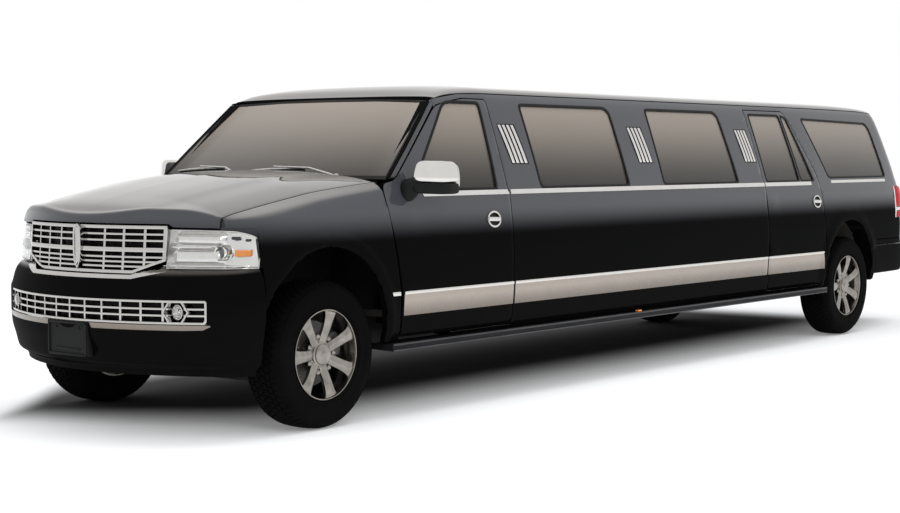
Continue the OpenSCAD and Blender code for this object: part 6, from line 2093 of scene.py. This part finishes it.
class LIMO_OT_tyres(bpy.types.Operator):
    """Makes the tyres with their tread blocks and plain sidewalls"""

    bl_idname = "limo.tyres"
    bl_label = "Tyres"

    def execute(self, context):
        sizes = context.scene.limo_wheels
        half = TYRE_W / 2
        side = [(sizes.rim + 0.0005, half - 0.028), (sizes.rim + 0.004, half - 0.016), (sizes.rim + 0.014, half - 0.009),
                (sizes.rim + 0.022, half - 0.006), (sizes.rim + 0.024, half - 0.0035), (sizes.rim + 0.03, half - 0.0032),
                (sizes.rim + 0.034, half - 0.0045), (0.31, half - 0.001), (0.33, half), (0.352, half - 0.003),
                (0.366, half - 0.0075), (0.3665, half - 0.006), (0.37, half - 0.0075), (0.371, half - 0.0105),
                (0.38, half - 0.019), (0.389, half - 0.031), (TYRE_R - 0.01, half - 0.045)]
        profile = side + [(TYRE_R - 0.0085, 0.06), (TYRE_R - 0.0075, 0.0), (TYRE_R - 0.0085, -0.06)]
        profile += [(r, -d) for r, d in reversed(side)]
        for name, hub in (("front", FRONT_HUB), ("rear", REAR_HUB)):
            tyre = join(lathe(profile, 96, (0, 0, 0)), self.tread(sizes.blocks))
            bmesh.ops.translate(tyre, vec=hub, verts=tyre.verts)
            both(tyre, f"tyre_tread_{name}_{{}}", f"wheel_{name}_{{}}", FINISHES["rubber"],
                 (f"tyre_{name}_{{}}",), 30)
        return {"FINISHED"}

    def tread(self, count):
        """Rows of blocks round the tyre, slanted a little, and lugs over its shoulders."""
        bm = bmesh.new()
        half = TYRE_W / 2
        rows = [(-0.07, -0.044, 0.5, 0.004), (-0.038, -0.012, 0.0, 0.006), (-0.007, 0.007, 0.5, 0.0), (0.012, 0.038, 0.0, -0.006),
                (0.044, 0.07, 0.5, -0.004)]
        pitch = math.tau / count
        for d0, d1, phase, slant in rows:
            for i in range(count):
                self.block(bm, (i + phase) * pitch, pitch * 0.8, d0, d1, slant, lambda d: TYRE_R - 0.6 * d * d)
        shoulder = through([(0.075, TYRE_R - 0.003), (0.092, TYRE_R - 0.0075), (0.104, TYRE_R - 0.015), (half - 0.02, 0.384)])
        for sign in (-1, 1):
            for i in range(count):
                for a, b in ((0.076, 0.096), (0.096, half - 0.021)):
                    self.block(bm, i * pitch, pitch * 0.62, sign * a, sign * b, 0.0, lambda d: shoulder(abs(d)))
        bmesh.ops.recalc_face_normals(bm, faces=bm.faces)
        return bm

    def block(self, bm, start, width, d0, d1, slant, top):
        verts = []
        for d, turn in ((d0, 0.0), (d1, slant / TYRE_R)):
            for a in (start + turn, start + turn + width):
                for r in (top(d) - 0.009, top(d)):
                    verts.append(bm.verts.new((r * math.cos(a), d, r * math.sin(a))))
        a, b, c, d, e, f, g, h = verts
        for ring in ((b, d, h, f), (a, e, g, c), (a, c, d, b), (e, f, h, g), (a, b, f, e), (c, g, h, d)):
            bm.faces.new(ring)


class LIMO_OT_rear_bumper(bpy.types.Operator):
    """Makes the rear bumper cover with its step pad and reflectors"""

    bl_idname = "limo.rear_bumper"
    bl_label = "Rear bumper"

    PLAN = ((0.0, 0.0), (0.6, 0.025), (0.83, 0.08), (0.91, 0.17), (0.948, 0.33), (0.97, 0.8447))
    ROWS = ((0.472, 0.06), (0.474, 0.028), (0.486, 0.012), (0.52, 0.004), (0.57, 0.0), (0.7, 0.0), (0.711, 0.003),
            (0.717, 0.012), (0.73, 0.0145), (0.757, 0.0155), (0.767, 0.02), (0.7705, 0.03), (0.7715, 0.06), (0.7715, 0.13))

    def curve(self):
        """Plan line of the bumper from the middle to its front end on the left, in even steps."""
        half = [Vector((TAIL + x, y)) for y, x in self.PLAN]
        whole = [Vector((p.x, -p.y)) for p in reversed(half[1:])] + half
        fine = []
        for i in range(len(whole) - 1):
            a, b = whole[max(i - 1, 0)], whole[i]
            c, d = whole[i + 1], whole[min(i + 2, len(whole) - 1)]
            steps = max(4, round((c - b).length / 0.03))
            ends = 1 if i == len(whole) - 2 else 0
            for k in range(steps + ends):
                t = k / steps
                fine.append(0.5 * (2 * b + (c - a) * t + (2 * a - 5 * b + 4 * c - d) * t * t
                                   + (3 * b - a - 3 * c + d) * t * t * t))
        return fine

    def surface(self, rows, proud=0.0, low=None, high=None):
        line = self.curve()
        height = through([(i, r[0]) for i, r in enumerate(rows)])
        behind = through([(i, r[1]) for i, r in enumerate(rows)])
        first = 0 if low is None else low
        last = len(line) - 1 if high is None else high
        normals = []
        for i in range(len(line)):
            run = (line[min(i + 1, len(line) - 1)] - line[max(i - 1, 0)]).normalized()
            normals.append(Vector((-run.y, run.x)))

        def place(u, v):
            k = round(mix(first, last, u))
            spot = line[k] + normals[k] * (proud - behind(v * (len(rows) - 1)))
            return Vector((spot.x, spot.y, height(v * (len(rows) - 1))))

        return laid_grid(last - first, (len(rows) - 1) * 3, place)

    def execute(self, context):
        middle_at = len(self.curve()) // 2
        cover = self.surface(self.ROWS)
        face_out(cover, Vector((-1, 0, 0)))
        thicken(cover, 0.006)
        round_edges(cover, 0.001)
        piece(cover, "rear_bumper_cover", "root", FINISHES["paint"], ("rear_bumper",), 38)
        pad = self.surface(((0.772, 0.036), (0.7755, 0.04), (0.7755, 0.115), (0.772, 0.118)), 0.0, middle_at - 18,
                           middle_at + 18)
        face_out(pad, Vector((0, 0, 1)))
        thicken(pad, 0.003)
        ribs = bmesh.new()
        for i in range(15):
            y = mix(-0.5, 0.5, i / 14)
            x = TAIL + 0.025 * (y / 0.6) ** 2
            box(ribs, (x + 0.045, y - 0.012, 0.7745), (x + 0.108, y + 0.012, 0.7785))
        round_edges(ribs, 0.0012, 1)
        piece(join(pad, ribs), "bumper_step_pad", "root", FINISHES["plastic"])
        lens = self.surface(((0.594, 0.0), (0.6, -0.004), (0.634, -0.004), (0.64, 0.0)), 0.001, middle_at - 26, middle_at - 22)
        other = mirrored(lens)
        for bm, side in ((lens, "right"), (other, "left")):
            face_out(bm, Vector((-1, 0, 0)))
            thicken(bm, 0.004)
            piece(bm, f"bumper_reflector_{side}", "root", FINISHES["red"])
        return {"FINISHED"}


class LIMO_OT_running_boards(bpy.types.Operator):
    """Makes the running boards with their bright edges, ribbed pads and amber side markers"""

    bl_idname = "limo.running_boards"
    bl_label = "Running boards"

    def bar(self, x0, x1, section, edge=0.0):
        """Bar along the vehicle from a section in pairs of y and z."""
        bm = bmesh.new()
        rings = [[bm.verts.new((mix(x0, x1, i / 24), y, z)) for y, z in section] for i in range(25)]
        n = len(section)
        for a, b in zip(rings, rings[1:]):
            for k in range(n):
                bm.faces.new((a[k], a[(k + 1) % n], b[(k + 1) % n], b[k]))
        bm.faces.new(rings[0][::-1])
        bm.faces.new(rings[-1])
        bmesh.ops.recalc_face_normals(bm, faces=bm.faces)
        if edge:
            round_edges(bm, edge)
        return bm

    def execute(self, context):
        x0, x1 = BOARD_LOW.x, BOARD_HIGH.x
        low, high, out = BOARD_LOW.z, BOARD_HIGH.z, BOARD_HIGH.y
        deck = self.bar(x0, x1, [(0.862, low + 0.004), (out - 0.012, low), (out - 0.003, low + 0.004), (out - 0.001, low + 0.02),
                                 (out - 0.003, high - 0.006), (out - 0.012, high - 0.001), (0.862, high - 0.001)], 0.002)
        both(deck, "running_board_{}", "root", FINISHES["board"], ("running_boards",))
        lines = join(
            self.bar(x0 + 0.004, x1 - 0.004, [(out - 0.014, high - 0.004), (out + 0.0005, high - 0.0085), (out + 0.0015, high - 0.004),
                                              (out - 0.004, high + 0.0015), (out - 0.013, high + 0.0015)]),
            self.bar(x0 + 0.004, x1 - 0.004, [(out - 0.012, low - 0.0015), (out - 0.002, low - 0.0005), (out + 0.0015, low + 0.003),
                                              (out + 0.0015, low + 0.0075), (out - 0.006, low + 0.0085)]))
        both(lines, "board_edges_{}", "root", FINISHES["line"])
        pads = bmesh.new()
        for a, b in ((DOOR_LOW - 1.0, DOOR_LOW - 0.12), (REAR_DOOR + 0.16, C_PILLAR - 0.14)):
            for i in range(6):
                y = 0.905 + i * 0.017
                box(pads, (a, y, high - 0.002), (b, y + 0.009, high + 0.0035), 8, 0)
        round_edges(pads, 0.0015, 1)
        both(pads, "board_pads_{}", "root", FINISHES["rubber"])
        valance = bmesh.new()
        box(valance, (x0 - 0.02, 0.735, low + 0.006), (x1 + 0.04, 0.75, SILL + 0.11), 20, 0)
        both(valance, "sill_valance_{}", "root", FINISHES["plastic"])
        marker = bmesh.new()
        box(marker, (0.262, 0.982, high - 0.001), (0.31, 1.008, high + 0.011), 3, 0)
        round_edges(marker, 0.004, 3)
        both(marker, "side_marker_{}", "root", FINISHES["amber"])
        return {"FINISHED"}


class LIMO_OT_wipers(bpy.types.Operator):
    """Makes the cowl panel and the two wipers"""

    bl_idname = "limo.wipers"
    bl_label = "Cowl and wipers"

    def execute(self, context):
        def place(u, v):
            y = (2 * u - 1) * 0.84
            front = BONNET_REAR - SCREEN_BOW * 0.6 * y * y - 0.008
            rear = SCREEN_BASE.x - SCREEN_BOW * y * y + 0.002
            x = mix(rear, front, v)
            fall = 0.075 * (abs(y) / 0.84) ** 2
            z = mix(SCREEN_BASE.z - 0.01, crown_line(front) - fall - 0.05, v) - 0.02 * math.sin(math.pi * v)
            return Vector((x, y, z))

        cowl = laid_grid(60, 8, place)
        face_out(cowl, Vector((0, 0, 1)))
        thicken(cowl, 0.004)
        # Near-black cowl, partly painted shade for the dark gap between bonnet and windscreen.
        piece(cowl, "cowl_panel", "root", FINISHES["void"])
        arms = []
        rubbers = []
        for base_y, start, end in ((0.6, 0.31, -0.14), (-0.12, -0.36, -0.8)):
            arm, rubber = self.wiper(base_y, start, end)
            arms.append(arm)
            rubbers.append(rubber)
        piece(join(*arms), "wiper_arms", "root", FINISHES["arm"])
        piece(join(*rubbers), "wiper_blades", "root", FINISHES["seal"])
        return {"FINISHED"}

    def on_screen(self, y, up, out):
        """Point over the windscreen at a distance across and a share of its height."""
        half = screen_half(mix(SCREEN_BASE.z, SCREEN_TOP.z, up))
        spot = screen_spot((y / half + 1) / 2, up)
        return spot + Vector((0.62, 0, 0.78)) * out

    def wiper(self, base_y, start, end):
        pivot = Vector((SCREEN_BASE.x - SCREEN_BOW * base_y ** 2 + 0.03, base_y, SCREEN_BASE.z + 0.012))
        mid = (start + end) / 2
        tip = self.on_screen(mid, 0.098, 0.03)
        elbow = self.on_screen(mix(base_y, start, 0.8), 0.075, 0.036)
        arm = tube([pivot, pivot + Vector((-0.01, (mid - base_y) * 0.12, 0.016)), elbow, tip], lambda t: 0.0085 - 0.0035 * t, 10)
        cap = lathe([(0.0, 0.02), (0.011, 0.018), (0.014, 0.012), (0.014, -0.02), (0.0, -0.02)], 20, pivot, (0, 0, 1))
        line = [self.on_screen(mix(start, end, i / 12), 0.098 - 0.04 * i / 12, 0.018 + 0.004 * math.sin(math.pi * i / 12))
                for i in range(13)]
        spine = tube(line, lambda t: 0.004 + 0.003 * math.sin(math.pi * t), 8)
        lip = [p - Vector((0.62, 0, 0.78)) * 0.011 for p in line]
        return join(arm, cap, spine), tube(lip, 0.005, 8)


class LIMO_OT_cabin(bpy.types.Operator):
    """Makes the padded seats, the dashboard's dials and vents, and the door cards"""

    bl_idname = "limo.cabin"
    bl_label = "Cabin"

    def execute(self, context):
        self.seats()
        self.dashboard()
        self.door_cards()
        return {"FINISHED"}

    def pad(self, name, low, high, lean=0.0, channels=0, across="y", crown=0.02):
        """Crowned cushion between two corners. lean moves its top along X."""
        low, high = Vector(low), Vector(high)
        size = high - low
        bm = bmesh.new()
        bmesh.ops.create_cube(bm, size=1)
        cells = [max(2, min(13, round(s / 0.045))) for s in size]
        for axis, n in enumerate(cells):
            edges = [e for e in bm.edges if abs(e.verts[0].co[axis] - e.verts[1].co[axis]) > 0.5]
            bmesh.ops.subdivide_edges(bm, edges=edges, cuts=n * 2 - 1, use_grid_fill=True)
        face = 2 if size.z < size.x else 0
        run = 1 if across == "y" else 0
        for v in bm.verts:
            s = v.co * 2
            a, b = [i for i in range(3) if i != face]
            puff = (1 - s[a] ** 4) * (1 - s[b] ** 4)
            side = 1 - abs(s[face]) ** 2.5
            spot = Vector([low[i] + size[i] * (v.co[i] + 0.5) for i in range(3)])
            for i, other in ((a, b), (b, a)):
                edge = max(0, abs(s[i]) - 0.6) / 0.4
                spot[i] -= math.copysign(0.012 * edge ** 2 * (1 - side) + 0.004 * edge * (1 - s[other] ** 2), s[i])
            groove = 0.0
            if channels:
                phase = (v.co[run] + 0.5) * channels
                near = abs(phase - round(phase))
                if 0 < round(phase) < channels:
                    groove = 0.012 * max(0, 1 - near / 0.09)
                puff += 0.3 * abs(math.sin(math.pi * phase)) * (1 - s[a] ** 8) * (1 - s[b] ** 8)
            spot[face] += math.copysign(crown * (puff - 0.9), s[face]) * abs(s[face]) ** 3 if abs(s[face]) > 0.2 else 0
            if abs(s[face]) > 0.98:
                spot[face] -= math.copysign(groove, s[face])
            spot.x += lean * (v.co.z + 0.5)
            v.co = spot
        bmesh.ops.recalc_face_normals(bm, faces=bm.faces)
        round_edges(bm, 0.008, 2, 55)
        obj = piece(bm, name, "root", FINISHES["leather"], ("seats",), 40)
        return obj

    def seats(self):
        front = FRONT_AXLE - 1.765
        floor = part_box("seats")[0].z
        for side, y in (("left", 0.4), ("right", -0.4)):
            self.pad(f"chair_cushion_{side}", (front + 0.01, y - 0.255, floor + 0.15), (front + 0.535, y + 0.255, 0.955), 0.0, 5)
            self.pad(f"chair_back_{side}", (front - 0.012, y - 0.245, 0.93), (front + 0.07, y + 0.245, 1.495), -0.165, 5)
            self.pad(f"chair_headrest_{side}", (front - 0.205, y - 0.125, 1.52), (front - 0.11, y + 0.125, 1.695), -0.012, 0)
        x0, x1 = REAR_AXLE + 0.49, FRONT_AXLE - 2.5
        side = -(HALF - 0.2)
        count = 5
        for i in range(count):
            a, b = mix(x0, x1, i / count) + 0.004, mix(x0, x1, (i + 1) / count) - 0.004
            self.pad(f"bench_cushion_{i + 1}", (a, side + 0.135, 0.8), (b, side + 0.555, 0.995), 0.0, 4, "x")
            self.bench_back(i, a, b, side)
        low = REAR_AXLE - 0.26
        for i in range(3):
            a, b = mix(-0.67, 0.67, i / 3) + 0.004, mix(-0.67, 0.67, (i + 1) / 3) - 0.004
            self.pad(f"rear_cushion_{i + 1}", (low + 0.0, a, 0.8), (low + 0.555, b, 0.995), 0.0, 4)
            self.pad(f"rear_back_{i + 1}", (low - 0.115, a, 0.85), (low - 0.005, b, 1.415), -0.0, 4)
        base = bmesh.new()
        for a, b in (((front + 0.02, 0.16, floor), (front + 0.46, 0.64, floor + 0.2)),
                     ((front + 0.02, -0.64, floor), (front + 0.46, -0.16, floor + 0.2)),
                     ((x0 + 0.01, side + 0.01, floor), (x1 - 0.01, side + 0.5, 0.81)),
                     ((low - 0.11, -0.66, floor), (low + 0.5, 0.66, 0.81))):
            box(base, a, b, 12, 1)
        round_edges(base, 0.01, 2)
        for y in (0.4, -0.4):
            for s in (-0.05, 0.05):
                post = tube([Vector((front - 0.155, y + s, 1.46)), Vector((front - 0.165, y + s, 1.56))], 0.007, 10)
                base = join(base, post)
        piece(base, "seat_bases", "root", FINISHES["trim"], ("seats",))

    def bench_back(self, i, a, b, side):
        """Upright pad against the right wall."""
        bm = bmesh.new()
        bmesh.ops.create_cube(bm, size=1)
        for axis, n in ((0, 24), (1, 3), (2, 14)):
            edges = [e for e in bm.edges if abs(e.verts[0].co[axis] - e.verts[1].co[axis]) > 0.5]
            bmesh.ops.subdivide_edges(bm, edges=edges, cuts=n, use_grid_fill=True)
        low, high = Vector((a, side + 0.005, 0.9)), Vector((b, side + 0.125, 1.24))
        for v in bm.verts:
            s = v.co * 2
            puff = (1 - s.x ** 4) * (1 - s.z ** 4) + 0.3 * abs(math.sin(math.pi * (v.co.x + 0.5) * 4)) * (1 - s.x ** 8)
            spot = Vector([mix(low[k], high[k], v.co[k] + 0.5) for k in range(3)])
            if s.y > 0:
                spot.y += 0.02 * (puff - 1.1) * s.y
            spot.z -= math.copysign(0.01 * abs(s.z) ** 6 * (1 - s.y) / 2, s.z)
            v.co = spot
        bmesh.ops.recalc_face_normals(bm, faces=bm.faces)
        round_edges(bm, 0.008, 2, 55)
        obj = piece(bm, f"bench_back_{i + 1}", "root", FINISHES["leather"], ("seats",), 40)

    def dashboard(self):
        """Dials, vents and a screen on the dashboard's rear face, and a pad on the steering wheel's hub."""
        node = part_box("dashboard")
        x = node[1].x - 0.425
        bm = bmesh.new()
        for y in (-0.6, -0.12, 0.12, 0.62):
            box(bm, (x, y - 0.06, 1.12), (x + 0.03, y + 0.06, 1.165))
        box(bm, (x + 0.01, -0.1, 1.09), (x + 0.06, 0.1, 1.112))
        round_edges(bm, 0.006, 2)
        piece(bm, "dash_vents", "root", FINISHES["void"])
        dials = [lathe([(0.0, 0.0), (0.03, 0.0), (0.033, 0.003), (0.036, 0.0), (0.036, -0.04), (0.0, -0.04)], 32,
                       (x - 0.002, 0.4 + s, 1.151), (-1, 0, 0)) for s in (-0.045, 0.045)]
        piece(join(*dials), "dash_dials", "root", FINISHES["reflector"])
        hub = Vector((FRONT_AXLE - 1.085, 0.4, BELT - 0.195))
        way = Vector((-math.cos(math.radians(25)), 0, math.sin(math.radians(25))))
        pad = lathe([(0.0, 0.012), (0.05, 0.01), (0.06, 0.002), (0.062, -0.02), (0.0, -0.02)], 32, hub, way)
        piece(pad, "horn_pad", "steering_wheel", FINISHES["trim"])

    def door_cards(self):
        """Arm rests and pockets on the doors' inner faces."""
        for end, x0, x1 in (("front", B_PILLAR + 0.06, DOOR_LOW - 0.05), ("rear", REAR_DOOR + 0.12, C_PILLAR - 0.06)):
            low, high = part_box(f"door_{end}_left")
            y = low.y - 0.001
            bm = bmesh.new()
            box(bm, (x0 + 0.08, y - 0.028, 0.96), (x1 - 0.2, y + 0.004, 1.02), 10, 0)
            box(bm, (x0 + 0.1, y - 0.014, 0.62), (x1 - 0.15, y + 0.004, 0.76), 10, 0)
            round_edges(bm, 0.008, 3)
            both(bm, f"arm_rest_{end}_{{}}", f"door_{end}_{{}}", FINISHES["leather"])


# Panel and registration
OPERATORS = (
    LIMO_OT_stage, LIMO_OT_frame_finishes, LIMO_OT_sides, LIMO_OT_doors, LIMO_OT_wings, LIMO_OT_bonnet, LIMO_OT_roof,
    LIMO_OT_front_bumper, LIMO_OT_tailgate, LIMO_OT_glass, LIMO_OT_seals, LIMO_OT_mouldings, LIMO_OT_louvres,
    LIMO_OT_handles, LIMO_OT_mirrors, LIMO_OT_grille, LIMO_OT_lower_grille, LIMO_OT_headlamps, LIMO_OT_tail_lamps,
    LIMO_OT_wheels, LIMO_OT_tyres, LIMO_OT_rear_bumper, LIMO_OT_running_boards, LIMO_OT_wipers, LIMO_OT_cabin)
GROUPS = {
    "limo_body": LIMO_PG_body, "limo_front": LIMO_PG_front, "limo_wheels": LIMO_PG_wheels,
    "limo_finish": LIMO_PG_finish, "limo_stage": LIMO_PG_stage}


class LIMO_PT_parts(bpy.types.Panel):
    """Sidebar list of the sizes, the colours and every step"""

    bl_idname = "LIMO_PT_parts"
    bl_label = "Stretch limousine"
    bl_space_type = "VIEW_3D"
    bl_region_type = "UI"
    bl_category = "Limousine"

    def draw(self, context):
        for name in GROUPS:
            box = self.layout.box()
            values = getattr(context.scene, name)
            for label in values.bl_rna.properties.keys():
                if label not in ("rna_type", "name"):
                    box.prop(values, label)
        for maker in OPERATORS:
            self.layout.operator(maker.bl_idname)


def register():
    for kind in (*GROUPS.values(), *OPERATORS, LIMO_PT_parts):
        bpy.utils.register_class(kind)
    for name, kind in GROUPS.items():
        setattr(bpy.types.Scene, name, bpy.props.PointerProperty(type=kind))


def unregister():
    for name in GROUPS:
        delattr(bpy.types.Scene, name)
    for kind in reversed((*GROUPS.values(), *OPERATORS, LIMO_PT_parts)):
        bpy.utils.unregister_class(kind)


def main():
    """Registers the add-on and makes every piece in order."""
    register()
    for maker in OPERATORS:
        family, step = maker.bl_idname.split(".")
        getattr(getattr(bpy.ops, family), step)()
    bpy.context.view_layer.update()


if __name__ == "__main__":
    main()
